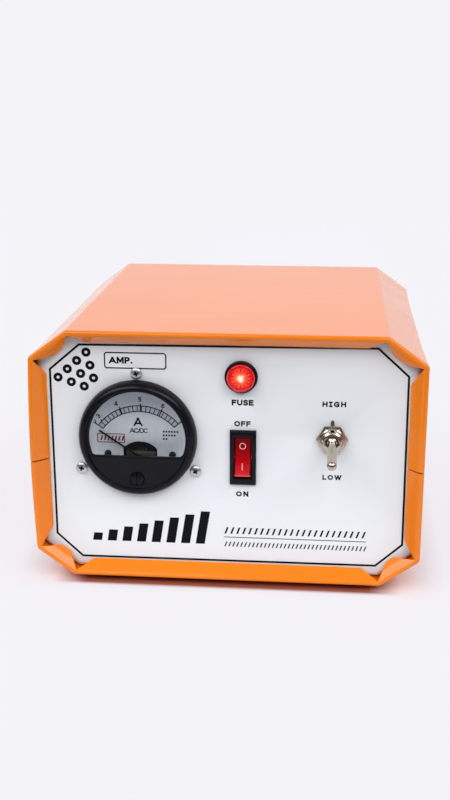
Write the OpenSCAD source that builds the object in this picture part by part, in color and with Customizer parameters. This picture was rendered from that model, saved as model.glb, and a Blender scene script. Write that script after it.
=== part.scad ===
// Bench battery charger: a folded sheet-metal case of octagonal section that holds
// a transformer, a bridge rectifier, a round ammeter, a lamp, a rocker switch and a
// toggle switch.
//
// Millimetres. X runs to the right, Y to the back and Z up, seen from the front.
// The origin is in the middle of the whole part's base. Inside the modules, y = 0 is
// the front fold of the case and z = 0 its underside; seated() moves them to the origin.
// A round instrument is drawn with its axis as Z, from the panel's face (z = 0)
// towards the user, and on_panel() lays it on the front panel.

/* [Case] */
// Width over the sides
case_w = 208; // [196:1:250]
// Height of the case without its feet
case_h = 139; // [132:1:170]
// Depth over the front and rear folds
case_d = 200; // [190:1:260]
// Width of a chamfered corner, along the top or the bottom
chamfer_w = 20; // [17:0.5:26]
// Height of a chamfered corner, along a side
chamfer_h = 15; // [12:0.5:20]
// Thickness of the case's sheet
sheet = 1; // [0.8:0.1:1.5]
// Outside radius of the long bends, which the fold at each end has to fit inside
bend_r = 3; // [3:0.1:5]
// Outside radius of the fold at the front and rear edges
fold_r = 1.6; // [1.3:0.1:1.6]
// How far the folded flange leans inwards from its fold
flange_run = 4.8; // [4:0.1:6]
// How far the folded flange leans back from its fold
flange_rise = 6.4; // [4.5:0.1:7]
// How far a flange's inner end stands back from the corner
notch_run = 9.8; // [8:0.1:10.5]
// Radius of a flange's inner corners
flange_corner_r = 2; // [0.5:0.1:2.5]
// Height of the seam between the tray and the cover
seam_z = 66; // [55:1:76]
// Gap along the seam
seam_gap = 0.4; // [0.2:0.1:1]
// Width of the lap strip that backs the seam
lap_h = 16; // [10:1:24]
// Thickness of the lap strip
lap_sheet = 0.8; // [0.6:0.1:1.2]

/* [Vents] */
// Width of a vent slot
slot_w = 3.2; // [2:0.1:5]
// Length of a slot in the sides
side_slot_l = 26; // [14:1:32]
// Length of a slot in the rear panel
rear_slot_l = 38; // [20:1:44]
// Distance from slot to slot
slot_pitch = 8; // [6.5:0.5:12]
// Slots in each row of a side
side_slots = 13; // [3:1:14]
// Slots in each stack of the rear panel
rear_slots = 6; // [2:1:7]

/* [Panels] */
// Thickness of the front and rear panels
panel_sheet = 1.2; // [1:0.1:2]
// Clearance between a panel's bent edge and the case
panel_gap = 0.8; // [0.4:0.1:1.2]
// Clearance between a panel's face and the folded flanges
panel_clear = 0.6; // [0.3:0.05:1.5]
// Outside radius of a panel's bent edge
panel_bend = 3; // [2.2:0.1:3.4]
// Radius of a panel's corners, seen from the front
panel_corner_r = 3.6; // [3.5:0.1:6]
// Depth of a panel's bent edge
panel_edge = 20; // [17:0.5:26]

/* [Ammeter] */
// Ammeter centre, from the middle of the case
meter_x = -47.9; // [-52:0.1:-46]
// Ammeter centre, above the middle of the case
meter_rise = 9.35; // [7:0.05:14]
// Outside diameter of the meter's bezel
bezel_d = 64.4; // [62:0.2:68]
// How far the bezel stands proud of the panel
bezel_h = 6.2; // [5.4:0.1:8]
// Width of the bezel's rounded rim
rim_w = 3.9; // [3:0.1:4.5]
// Step from the rim's crest down to the bezel's face
rim_step = 0.8; // [0.5:0.1:1.2]
// Thickness of the bezel's face
bezel_wall = 1.6; // [1.2:0.1:2.4]
// Radius of the window's arch
window_r = 26.3; // [24:0.1:26.8]
// Height of the window's sill, below the meter's centre
sill_drop = 10.7; // [7:0.1:11]
// Radius of the window's lower corners
window_corner_r = 4.5; // [1:0.5:5]
// Thickness of the window's pane
pane = 1.4; // [1:0.1:1.8]
// Diameter of the meter's rear case
can_d = 56; // [54:0.5:56]
// Wall of the meter's rear case
can_wall = 1.8; // [1.4:0.1:2.4]
// Depth of the meter's rear case behind the panel's face
can_depth = 34; // [32:0.5:40]
// Depth of the dial behind the panel's face
dial_depth = 6.3; // [6:0.1:9]
// Thickness of the dial plate
dial_sheet = 0.6; // [0.4:0.1:0.8]
// Drop of the pointer's pivot below the meter's centre
pivot_drop = 13.1; // [12:0.1:14]
// Length of the pointer from its pivot
pointer_l = 26.7; // [22:0.1:28]
// Angle of the pointer at zero, from the vertical
pointer_zero = 56.6; // [45:0.1:58]
// Drop of the zero adjuster below the meter's centre
adjuster_drop = 21.7; // [20:0.1:22]
// Diameter of the zero adjuster
adjuster_d = 7.2; // [5:0.1:7.4]
// Radius of the circle on which the meter's screws stand
meter_screw_r = 36; // [35.5:0.1:38]

/* [Lamp] */
// Lamp centre, from the middle of the case
lamp_x = 7.8; // [2:0.1:14]
// Lamp centre, below the case's top
lamp_drop = 24.8; // [23:0.1:29]
// Diameter of the lamp's bezel
lamp_d = 17.5; // [16:0.1:19]
// How far the lamp's bezel stands proud of the panel
lamp_rim_h = 2; // [1.5:0.1:3]
// Diameter of the lens
lens_d = 14.9; // [13.6:0.1:15.4]
// How far the lens stands proud of its bezel
lens_rise = 3.8; // [1:0.1:5]
// Diameter of the lamp's threaded barrel
lamp_barrel_d = 13.6; // [12:0.1:14]
// Length of the lamp's barrel behind the panel's face
lamp_barrel_l = 24; // [18:1:30]

/* [Rocker switch] */
// Rocker switch centre, from the middle of the case
rocker_x = 8.9; // [2:0.1:14]
// Rocker switch centre, above the middle of the case
rocker_rise = -0.2; // [-5:0.1:4]
// Width of the switch's bezel
switch_w = 14.1; // [13.6:0.1:16]
// Height of the switch's bezel
switch_h = 30.9; // [29:0.1:33]
// How far the switch's bezel stands proud of the panel
switch_rim = 1.9; // [1.6:0.1:2.4]
// Width of the rocker
rocker_w = 8.9; // [8:0.1:9.4]
// Height of the rocker
rocker_h = 22.7; // [20:0.1:23.4]
// Clearance around the rocker
rocker_gap = 0.3; // [0.3:0.05:0.5]
// Tilt of the rocker to each side of its middle position
rocker_tilt = 11; // [8:0.5:12]
// Depth of the switch's body behind the panel's face
switch_body_depth = 19; // [17:0.5:24]

/* [Toggle switch] */
// Toggle switch centre, from the middle of the case
toggle_x = 56.3; // [46:0.1:64]
// Toggle switch centre, above the middle of the case
toggle_rise = 11.5; // [5:0.1:16]
// Diameter of the threaded bushing
bushing_d = 11.9; // [11:0.1:12.6]
// How far the bushing's end stands proud of the panel
bushing_rise = 6.5; // [5.5:0.1:8]
// Width of the nut across its flats
nut_af = 14.8; // [14:0.1:17]
// Thickness of the nut
nut_h = 2.6; // [1.8:0.1:3]
// Thickness of the keyed lock washer
lock_washer = 0.8; // [0.5:0.1:1]
// Swing of the lever to each side of straight ahead
toggle_swing = 17; // [12:0.5:17]
// Length of the lever from its pivot to its tip's centre
lever_l = 20.9; // [17:0.1:26]
// Diameter of the lever's ball tip
lever_tip_d = 5.4; // [4.4:0.1:6]
// Diameter of the lever where it leaves the bushing
lever_root_d = 4.4; // [3:0.1:4.4]

/* [Transformer] */
// Width of the laminated core
core_w = 96; // [84:1:102]
// Height of the laminated core
core_h = 80; // [70:1:88]
// Thickness of the stack of laminations
core_stack = 45; // [36:1:50]
// Transformer centre, from the right side of the case
core_side = 84; // [83:1:88]
// Transformer centre, in front of the rear fold
core_back = 76; // [72:1:80]
// Thickness of the strap that clamps the core
strap = 1.5; // [1.2:0.1:2]

/* [Rectifier and wiring blocks] */
// Length of the heat sink
sink_l = 72; // [60:1:80]
// Height of the heat sink
sink_h = 54; // [44:1:60]
// Reach of the heat sink's fins
fin_reach = 18; // [12:1:22]
// Number of fins
fins = 7; // [4:1:8]
// Side of the square bridge rectifier
bridge_w = 28.6; // [25:0.2:32]
// Diameter of the glass fuse
fuse_d = 6.3; // [5:0.1:6.5]
// Length of the glass fuse
fuse_l = 32; // [28:1:36]
// Diameter of the bore through the mains grommet
mains_bore_d = 7.5; // [6:0.1:8.5]
// Diameter of the bore through the output grommet
output_bore_d = 7; // [5.5:0.1:8]

/* [Fasteners and feet] */
// Shank diameter of the case screws
case_screw_d = 4; // [3:0.5:4]
// Head diameter of the case screws
case_head_d = 7.6; // [6:0.1:8]
// Head height of the case screws
case_head_h = 1.9; // [1.5:0.1:2.4]
// Shank diameter of the meter's screws
meter_screw_d = 3; // [2.5:0.5:3]
// Head diameter of the meter's screws
meter_head_d = 6.2; // [5.5:0.1:6.6]
// Head height of the meter's screws
meter_head_h = 2.2; // [1.6:0.1:2.6]
// Diameter of a rubber foot
foot_d = 17; // [15:0.5:20]
// Height of a rubber foot
foot_h = 3.5; // [3.2:0.1:6]
// Distance of the feet from the middle of the case, sideways
foot_x = 67; // [50:1:72]
// Distance of the feet from the front or rear fold
foot_y = 14.5; // [14.5:0.5:20]

/* [Hidden] */
$fn = 64;

// Colours
orange = [0.93, 0.38, 0.08];
panel_white = [0.90, 0.91, 0.94];
black_gloss = [0.05, 0.05, 0.06];
black_matte = [0.10, 0.10, 0.11];
steel = [0.72, 0.72, 0.74];
nickel = [0.75, 0.72, 0.66];
brass = [0.78, 0.60, 0.28];
copper = [0.72, 0.40, 0.22];
lamp_red = [0.85, 0.06, 0.05, 0.8];
clear = [0.85, 0.90, 0.92, 0.3];

fit = 0.1;          // radial play between pieces that are pushed together
run = 0.06;         // radial play of a turning shaft

// The folded flange, seen in section as inset from the outline and depth from the fold
flange_angle = atan2(flange_rise, flange_run);
flange_l = norm([flange_run, flange_rise]);
flange_tip_y = fold_r * (1 - cos(flange_angle)) + flange_rise + sheet * cos(flange_angle);
panel_y = flange_tip_y + panel_clear;
panel_back_y = panel_y + panel_sheet;
panel_inset = sheet + panel_gap;

// Places that follow the size of the case
meter_z = case_h / 2 + meter_rise;
lamp_z = case_h - lamp_drop;
rocker_z = case_h / 2 + rocker_rise;
toggle_z = case_h / 2 + toggle_rise;
core_x = case_w / 2 - core_side;
core_y = case_d - core_back;

chamfer_l = norm([chamfer_w, chamfer_h]);
chamfer_angle = atan2(chamfer_h, chamfer_w);

// The lever's tip reaches furthest forward and the rear fold furthest back
pivot_back = 2.2;
toggle_pivot_y = panel_y - bushing_rise + pivot_back;
lever_reach_y = toggle_pivot_y - lever_l * cos(toggle_swing) - lever_tip_d / 2;
front_y = -(lever_reach_y + case_d) / 2;

// ---------------------------------------------------------------- helpers

function unit(v) = v / norm(v);

// Corners of the case's outline, inset by d, counter-clockwise from the bottom left
function outline_points(d) = let (
    w = case_w / 2,
    sx = chamfer_w + d * (chamfer_l - chamfer_w) / chamfer_h,
    sz = chamfer_h + d * (chamfer_l - chamfer_h) / chamfer_w
) [
    [-w + sx, d], [w - sx, d], [w - d, sz], [w - d, case_h - sz],
    [w - sx, case_h - d], [-w + sx, case_h - d], [-w + d, case_h - sz], [-w + d, sz]
];

function corner(i) = outline_points(0)[i % 8];
function edge_l(i) = norm(corner(i + 1) - corner(i));
function along(i) = unit(corner(i + 1) - corner(i));
function inward(i) = let (d = along(i)) [-d.y, d.x];
// How much an edge shortens at corner i for each millimetre of inset
function mitre(i) = tan((i % 4 < 2 ? chamfer_angle : 90 - chamfer_angle) / 2);

// Centre and ends of an arc of radius r that rounds the corner at b, between a and c
function fillet(a, b, c, r) = let (
    u = unit(a - b),
    v = unit(c - b),
    half = acos(u * v) / 2
) [b + unit(u + v) * r / sin(half), b + u * r / tan(half), b + v * r / tan(half)];

// Points of such an arc
function rounded(a, b, c, r, n = 6) = let (
    arc = fillet(a, b, c, r),
    s = arc[1] - arc[0],
    e = arc[2] - arc[0],
    from = atan2(s.y, s.x),
    sweep = (atan2(e.y, e.x) - from + 540) % 360 - 180
) [for (k = [0:n]) arc[0] + r * [cos(from + sweep * k / n), sin(from + sweep * k / n)]];

// Moves a piece from the case's own corner of reference to the part's origin
module seated() {
    translate([0, front_y, foot_h]) children();
}

// Extrudes an outline drawn in X and Z from depth y0 to depth y1
module along_y(y0, y1) {
    translate([0, y1, 0]) rotate([90, 0, 0]) linear_extrude(y1 - y0) children();
}

// Lays a piece drawn round the Z axis on the front panel's face, at x and z
module on_panel(x, z) {
    seated() translate([x, panel_y, z]) rotate([90, 0, 0]) children();
}

// Convex polygon whose corner k is rounded to radius r[k]
module rounded_polygon(points, r) {
    n = len(points);
    arcs = [for (k = [0:n - 1]) fillet(points[(k + n - 1) % n], points[k], points[(k + 1) % n], r[k])];
    polygon([for (k = [0:n - 1]) each r[k] > 0 ? [arcs[k][1], arcs[k][2]] : [points[k]]]);
    for (k = [0:n - 1]) if (r[k] > 0) translate(arcs[k][0]) circle(r = r[k]);
}

// Turns to edge i of the outline: X points inwards, Y to the back, Z along the edge
module at_edge(i) {
    p = corner(i + 1);
    n = inward(i);
    translate([p.x, 0, p.y]) rotate([0, -atan2(n.y, n.x), 0]) children();
}

// Bends a section, drawn as inset and depth, round the whole outline. Its corners turn
// about centres that lie at the given inset.
module round_outline(inset) {
    for (i = [0:7]) {
        at_edge(i) translate([0, 0, inset * mitre(i + 1)])
            linear_extrude(edge_l(i) - inset * (mitre(i) + mitre(i + 1))) children();
        centre = outline_points(inset)[i];
        outward = -inward(i);
        translate([centre.x, 0, centre.y]) rotate([-90, 0, 0])
            rotate([0, 0, -atan2(outward.y, outward.x)])
                rotate_extrude(angle = 2 * atan(mitre(i)))
                    translate([inset, 0]) mirror([1, 0]) children();
    }
}

// Pie slice between two angles, to be cut out of a round section
module slice(r, from, to, steps = 4) {
    polygon(concat([[0, 0]],
        [for (k = [0:steps]) let (a = from + (to - from) * k / steps) r * [cos(a), sin(a)]]));
}

module tube(r_out, r_in, z0, z1) {
    translate([0, 0, z0]) difference() {
        cylinder(r = r_out, h = z1 - z0);
        translate([0, 0, -1]) cylinder(r = r_in, h = z1 - z0 + 2);
    }
}

module hexagon(af, h) {
    cylinder(r = af / sqrt(3), h = h, $fn = 6);
}

// Rows of slots: n of them, pitch apart along the first axis, running along the second
module slot_row(n, pitch, w, l) {
    for (k = [0:n - 1]) translate([(k - (n - 1) / 2) * pitch, 0]) {
        square([w, l - w], center = true);
        for (s = [-1, 1]) translate([0, s * (l - w) / 2]) circle(d = w, $fn = 24);
    }
}

// Pan-head screw with a crossed recess: its head stands on z = 0 and its shank runs down
module pan_screw(d, l, head_d, head_h) {
    edge = head_h * 0.45;
    recess = 0.17 * head_d;
    difference() {
        rotate_extrude()
            polygon(concat([[0, 0], [head_d / 2, 0]],
                rounded([head_d / 2, 0], [head_d / 2, head_h], [0, head_h], head_h - edge),
                [[0, head_h]]));
        for (a = [0, 90]) rotate([0, 0, a])
            translate([-head_d * 0.3, -recess / 2, head_h * 0.4])
                cube([head_d * 0.6, recess, head_h]);
    }
    translate([0, 0, -l]) cylinder(d = d, h = l + 0.2);
}

// ---------------------------------------------------------------- case

// Section of the fold: a roll that ends where the flange begins
module roll_section() {
    translate([fold_r, fold_r]) difference() {
        intersection() {
            circle(r = fold_r);
            slice(3 * fold_r, 180, 270 + flange_angle);
        }
        circle(r = fold_r - sheet);
    }
}

// Section of the case's wall with a fold at each end
module skin_section() {
    translate([0, fold_r]) square([sheet, case_d - 2 * fold_r]);
    roll_section();
    translate([0, case_d]) mirror([0, 1]) roll_section();
}

// Flange of edge i: a flat tongue, cut back from the corners, that leans back from its fold
module flange(i) {
    a = flange_angle;
    root = fold_r * [1, 1] + (fold_r - sheet) * [sin(a), -cos(a)];
    l = edge_l(i);
    at_edge(i) translate([root.x, root.y, 0]) rotate([0, 0, a]) rotate([90, 0, 0])
        linear_extrude(sheet) rounded_polygon([
            [0, bend_r * mitre(i + 1)], [flange_l, notch_run],
            [flange_l, l - notch_run], [0, l - bend_r * mitre(i)]],
            [0, flange_corner_r, flange_corner_r, 0]);
}

// Both shells in one, before the seam parts them
module case_skin() {
    round_outline(bend_r) skin_section();
    for (i = [0:7]) {
        flange(i);
        translate([0, case_d, 0]) mirror([0, 1, 0]) flange(i);
    }
}

module beyond_seam(up) {
    s = up ? seam_z + seam_gap / 2 : seam_z - seam_gap / 2 - case_h;
    translate([-case_w, -case_d, s]) cube([2 * case_w, 3 * case_d, case_h]);
}

// Places of the case screws: on both sides, near both panels, at height z
module at_case_screws(z) {
    y = panel_y + panel_edge - 6;
    for (side = [-1, 1]) for (y = [y, case_d - y])
        translate([side * case_w / 2, y, z]) rotate([0, side * 90, 0]) children();
}

tray_screw_z = seam_z / 2;
cover_screw_z = (seam_z + case_h - chamfer_h) / 2;
tray_slot_z = (chamfer_h + seam_z - lap_h / 2) / 2;
cover_slot_z = (case_h - chamfer_h + seam_z + lap_h / 2) / 2;

module side_slots(z) {
    translate([-case_w, case_d / 2, z]) rotate([90, 0, 90])
        linear_extrude(2 * case_w) slot_row(side_slots, slot_pitch, slot_w, side_slot_l);
}

module at_feet() {
    for (x = [-foot_x, foot_x]) for (y = [foot_y, case_d - foot_y]) translate([x, y, 0]) children();
}

module bottom_tray() {
    color(orange) seated() {
        difference() {
            intersection() {
                case_skin();
                beyond_seam(false);
            }
            side_slots(tray_slot_z);
            at_case_screws(tray_screw_z) translate([0, 0, -5]) cylinder(d = case_screw_d + 0.4, h = 10);
            at_feet() translate([0, 0, -1]) cylinder(d = foot_screw_d + 0.4, h = 3);
            at_base_bolts() translate([0, 0, -1]) cylinder(d = base_bolt_d + 0.4, h = 3);
        }
        // Lap strips inside the side walls, which the cover slides over
        for (side = [-1, 1])
            translate([side * (case_w / 2 - sheet - lap_sheet / 2), case_d / 2, seam_z])
                cube([lap_sheet, case_d - 2 * (panel_y + panel_edge + 2), lap_h], center = true);
    }
}

module top_cover() {
    color(orange) seated() difference() {
        intersection() {
            case_skin();
            beyond_seam(true);
        }
        side_slots(cover_slot_z);
        at_case_screws(cover_screw_z) translate([0, 0, -5]) cylinder(d = case_screw_d + 0.4, h = 10);
    }
}

// Section of a panel's edge, bent back round a radius
module panel_edge_section() {
    bend_x = panel_inset + panel_bend;
    translate([bend_x, panel_y]) square([panel_corner_r - panel_bend, panel_sheet]);
    translate([bend_x, panel_y + panel_bend]) difference() {
        intersection() {
            circle(r = panel_bend);
            slice(3 * panel_bend, 180, 270);
        }
        circle(r = panel_bend - panel_sheet);
    }
    translate([panel_inset, panel_y + panel_bend]) square([panel_sheet, panel_edge - panel_bend]);
}

// A panel with all its edges bent back, as it stands at the front
module panel_tray() {
    along_y(panel_y, panel_back_y) polygon(outline_points(panel_inset + panel_corner_r));
    round_outline(panel_inset + panel_corner_r) panel_edge_section();
}

// The holes for the case screws in both panels' bent edges
module case_screw_holes(d) {
    for (z = [tray_screw_z, cover_screw_z]) at_case_screws(z)
        translate([0, 0, -12]) cylinder(d = d, h = 14);
}

// Openings in both panels' bottom edges, round the nuts of the feet
module foot_nut_holes() {
    at_feet() cylinder(d = foot_nut_af / cos(30) + 1.2, h = 2 * (panel_inset + panel_sheet));
}

module front_panel() {
    meter_hole_d = can_d + 1;
    color(panel_white) seated() difference() {
        panel_tray();
        translate([meter_x, panel_y, meter_z]) rotate([90, 0, 0]) translate([0, 0, -3]) {
            cylinder(d = meter_hole_d, h = 6);
            at_meter_screws() cylinder(d = meter_screw_d + 0.4, h = 6);
        }
        translate([lamp_x, panel_y, lamp_z]) rotate([90, 0, 0]) translate([0, 0, -3])
            cylinder(d = lamp_barrel_d + 0.4, h = 6);
        translate([rocker_x, panel_y, rocker_z])
            cube([switch_body_w + 0.4, 6, switch_body_h + 0.4], center = true);
        translate([toggle_x, panel_y, toggle_z]) rotate([90, 0, 0]) translate([0, 0, -3])
            cylinder(d = bushing_d + 0.4, h = 6);
        case_screw_holes(clinch_collar_d + 0.04);
        foot_nut_holes();
    }
}

module rear_panel() {
    color(panel_white) seated() difference() {
        translate([0, case_d, 0]) mirror([0, 1, 0]) panel_tray();
        for (side = [-1, 1]) translate([side * rear_stack_x, case_d, rear_stack_z]) rotate([90, 0, 0])
            linear_extrude(case_d / 4) rotate([0, 0, 90])
                slot_row(rear_slots, slot_pitch, slot_w, rear_slot_l);
        for (x = [mains_x, output_x]) translate([x, case_d, outlet_z]) rotate([90, 0, 0])
            cylinder(r = grommet_groove_r + fit, h = case_d / 4);
        case_screw_holes(clinch_collar_d + 0.04);
        foot_nut_holes();
    }
}

rear_stack_x = 34;
rear_stack_z = 86;
mains_x = 58;
output_x = -58;
outlet_z = 32;

clinch_h = 2.6;
clinch_collar_d = case_screw_d + 2;
case_screw_l = 8;

module case_screws() {
    color(steel) seated()
        for (z = [tray_screw_z, cover_screw_z]) at_case_screws(z)
            pan_screw(case_screw_d, case_screw_l, case_head_d, case_head_h);
}

module clinch_nuts() {
    color(steel) seated()
        for (z = [tray_screw_z, cover_screw_z]) at_case_screws(z)
            translate([0, 0, -panel_inset - panel_sheet - clinch_h]) difference() {
                union() {
                    cylinder(d = case_screw_d + 4.4, h = clinch_h);
                    cylinder(d = clinch_collar_d, h = clinch_h + panel_sheet + panel_gap);
                }
                translate([0, 0, -1]) cylinder(d = case_screw_d + 0.02, h = clinch_h + 6);
            }
}

// ---------------------------------------------------------------- feet

foot_screw_d = 4;
foot_nut_af = 7;        // across the nut's flats
foot_head_h = 1.6;
foot_seat = 1.4;        // rubber between the screw's head and the tray

module feet() {
    color(black_matte) seated() at_feet() rotate_extrude() polygon([
        [foot_screw_d / 2 + 0.1, 0], [foot_screw_d / 2 + 0.1, -foot_seat],
        [foot_head_r + 0.2, -foot_seat], [foot_head_r + 0.2, -foot_h],
        [foot_d / 2 - 1.2, -foot_h], [foot_d / 2 - 0.8, -foot_h + 0.4], [foot_d / 2, 0]
    ]);
}

foot_head_r = 3.6;

module foot_screws() {
    color(steel) seated() at_feet() {
        translate([0, 0, -foot_seat - foot_head_h]) cylinder(r = foot_head_r, h = foot_head_h);
        translate([0, 0, -foot_seat]) cylinder(d = foot_screw_d, h = foot_seat + sheet + 4);
    }
}

module foot_nuts() {
    color(steel) seated() at_feet() translate([0, 0, sheet]) difference() {
        hexagon(foot_nut_af, 3.2);
        translate([0, 0, -1]) cylinder(d = foot_screw_d + 0.02, h = 6);
    }
}

// ---------------------------------------------------------------- ammeter

bezel_r = bezel_d / 2;
crest_r = bezel_r - rim_w;
face_top = bezel_h - rim_step;
face_under = face_top - bezel_wall;
pane_under = face_under - pane;
can_r = can_d / 2;
can_back = -can_depth;
screw_turns = [90, 210, 330];

module at_meter_screws() {
    for (a = screw_turns) translate(meter_screw_r * [cos(a), sin(a)]) children();
}

// Arched window with a flat sill and rounded lower corners, drawn about the meter's centre
module window_shape(grow = 0) {
    r = window_r + grow;
    sill = sill_drop + grow;
    c = window_corner_r + grow;
    // The corner circles touch the sill and the arch from inside
    cx = sqrt(pow(r - c, 2) - pow(sill - c, 2));
    end = r / (r - c) * [cx, c - sill];
    difference() {
        circle(r = r);
        translate([-2 * r, -3 * r]) square([4 * r, 3 * r - sill]);
        for (s = [1, -1])
            polygon([for (p = [[cx, c - sill], [cx, -sill - 1], [r + 1, -sill - 1], [r + 1, end.y], end])
                [s * p.x, p.y]]);
    }
    for (s = [-1, 1]) translate([s * cx, c - sill]) circle(r = c);
}

module meter_bezel() {
    color(black_gloss) on_panel(meter_x, meter_z) {
        // Rounded rim
        rotate_extrude() polygon(concat(
            [[can_r + fit, 0], [bezel_r, 0]],
            [for (a = [9:9:90]) [crest_r + rim_w * cos(a), bezel_h * sin(a)]],
            [[crest_r - 0.4, face_top], [crest_r - 0.4, face_under], [can_r + fit, face_under]]));
        // Face with the window and the adjuster's hole
        translate([0, 0, face_under]) linear_extrude(bezel_wall) difference() {
            circle(r = crest_r - 0.4);
            window_shape();
            translate([0, -adjuster_drop]) circle(d = adjuster_d + 2 * run);
        }
    }
}

module meter_window() {
    color(clear) on_panel(meter_x, meter_z)
        translate([0, 0, pane_under]) linear_extrude(pane) difference() {
            circle(r = can_r - 0.2);
            translate([-can_r, -3 * can_r]) square([2 * can_r, 3 * can_r - sill_drop - 3]);
        }
}

dial_post_x = 17.8;
dial_post_drop = 11.6;
dial_back = -dial_depth - dial_sheet;
floor_top = can_back + can_wall;

module meter_case() {
    color(black_matte) on_panel(meter_x, meter_z) difference() {
        union() {
            tube(can_r, can_r - can_wall, can_back, pane_under);
            translate([0, 0, can_back]) cylinder(r = can_r, h = can_wall);
            // Posts that carry the dial
            for (s = [-1, 1]) translate([s * dial_post_x, -dial_post_drop, can_back])
                cylinder(r = 2.6, h = dial_back - can_back);
            // Shelf that the clamps press on
            tube(can_r, can_r - can_wall - 0.6, can_back, can_back + 4);
        }
        for (s = [-1, 1]) translate([s * dial_post_x, -dial_post_drop, dial_back - 8])
            cylinder(d = 2, h = 9);
        for (s = [-1, 1]) translate([s * stud_x, stud_y, can_back - 1]) cylinder(d = stud_d, h = 4);
    }
}

stud_x = 12;
stud_y = 9;
stud_d = 4;
stud_reach = 14;        // behind the can
stud_nut_af = 7;

module meter_dial() {
    moon_r = 12.5;
    moon_w = 18.6;
    moon_top = -5.3;
    color([0.72, 0.74, 0.78]) on_panel(meter_x, meter_z)
        translate([0, 0, dial_back]) linear_extrude(dial_sheet) difference() {
            circle(r = can_r - can_wall - 0.3);
            translate([-can_r, -3 * can_r]) square([2 * can_r, 3 * can_r - dial_post_drop - 4]);
            intersection() {
                translate([0, moon_top - moon_r]) circle(r = moon_r);
                translate([-moon_w / 2, -can_r]) square([moon_w, can_r]);
            }
            translate([-moon_w / 2, -can_r]) square([moon_w, can_r - 12.5]);
            for (s = [-1, 1]) translate([s * dial_post_x, -dial_post_drop]) circle(d = 2.2);
        }
}

module dial_screws() {
    color(black_matte) on_panel(meter_x, meter_z)
        for (s = [-1, 1]) translate([s * dial_post_x, -dial_post_drop, -dial_depth])
            difference() {
                union() {
                    cylinder(r = 1.9, h = 1);
                    translate([0, 0, -6]) cylinder(d = 1.96, h = 6.2);
                }
                translate([-2, -0.25, 0.5]) cube([4, 0.5, 1]);
            }
}

pointer_z = -dial_depth + 1;
staff_r = 0.6;
bridge_z = dial_back - 1.6;
coil_top = bridge_z - 3.4;

// Pointer with its staff, balance tail and iron vane, at zero
module meter_pointer() {
    color(black_matte) on_panel(meter_x, meter_z)
        translate([0, -pivot_drop, 0]) rotate([0, 0, pointer_zero]) {
            translate([0, 0, pointer_z]) linear_extrude(0.4) {
                polygon([[-0.5, 0], [-0.22, pointer_l], [0.22, pointer_l], [0.5, 0], [0.7, -6], [-0.7, -6]]);
                circle(r = 1.5);
            }
            translate([0, 0, coil_top - 11]) cylinder(r = staff_r, h = pointer_z - coil_top + 11.4);
            translate([0, 0, coil_top - 9]) linear_extrude(7) translate([0, -0.2]) square([3.6, 0.4]);
        }
}

module meter_coil() {
    coil_r = 9;
    cheek = 1.2;
    top = coil_top - floor_top;
    color(copper) on_panel(meter_x, meter_z) translate([0, -pivot_drop, floor_top])
        rotate_extrude() polygon([
            [0, 0], [coil_r, 0], [coil_r, cheek], [coil_r - 1.4, cheek],
            [coil_r - 1.4, top - cheek], [coil_r, top - cheek], [coil_r, top],
            [5, top], [5, 2], [0, 2]]);
}

// Brass bridge that carries the front bearing, on two posts
module meter_bridge() {
    half = 8;
    color(brass) on_panel(meter_x, meter_z) translate([0, -pivot_drop, 0]) difference() {
        union() {
            translate([-half, -2.2, bridge_z - 1]) cube([2 * half, 4.4, 1]);
            for (s = [-1, 1]) translate([s * (half - 1.4), 0, coil_top])
                cylinder(r = 1.4, h = bridge_z - coil_top - 0.5);
            translate([0, 0, bridge_z]) cylinder(r = 2, h = 1);
        }
        translate([0, 0, bridge_z - 2]) cylinder(r = staff_r + run, h = 4);
    }
}

// Flat spiral spring between the bridge and the coil
module hairspring() {
    turns = 4;
    steps = 16 * turns;
    first = staff_r + 0.7;
    pitch = 0.85;
    thick = 0.18;
    function on_spiral(k, side) = let (a = 360 * k / 16, r = first + pitch * k / 16 + side * thick / 2)
        r * [cos(a), sin(a)];
    color(brass) on_panel(meter_x, meter_z) translate([0, -pivot_drop, coil_top + 0.9])
        linear_extrude(0.6)
            polygon(concat([for (k = [0:steps]) on_spiral(k, 1)],
                [for (k = [steps:-1:0]) on_spiral(k, -1)]));
}

module zero_adjuster() {
    r = adjuster_d / 2;
    top = face_top + 0.5;
    color(black_gloss) on_panel(meter_x, meter_z) translate([0, -adjuster_drop, 0]) {
        difference() {
            translate([0, 0, face_under - 0.6]) cylinder(r = r, h = top - face_under + 0.6);
            translate([-0.5, -r - 1, top - 1.1]) cube([1, 2 * r + 2, 2]);
        }
        translate([0, 0, face_under - 1.4]) cylinder(r = r + 0.9, h = 1.1);
        translate([0, 0, -3]) cylinder(r = 1.2, h = face_under - 1 + 3);
        translate([0, 1.6, -6.2]) cylinder(r = 0.45, h = 5);
        translate([0, 0, -3]) linear_extrude(1.4) translate([-0.8, 0]) square([1.6, 2.2]);
    }
}

meter_screw_l = 11;
clamp_sheet = 1.5;

module meter_screws() {
    color(steel) on_panel(meter_x, meter_z) at_meter_screws()
        pan_screw(meter_screw_d, meter_screw_l, meter_head_d, meter_head_h);
}

// Three clips behind the panel: each bears on the panel and on the meter's rear case
module meter_clamps() {
    color(steel) on_panel(meter_x, meter_z)
        for (a = screw_turns) rotate([0, 0, a]) difference() {
            union() {
                translate([can_r + 0.3, -4, -panel_sheet - clamp_sheet])
                    cube([meter_screw_r + 4 - can_r - 0.3, 8, clamp_sheet]);
                translate([can_r + 0.3, -4, -panel_sheet - 7]) cube([clamp_sheet, 8, 7]);
            }
            translate([meter_screw_r, 0, -10]) cylinder(d = meter_screw_d + 0.3, h = 12);
        }
}

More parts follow.
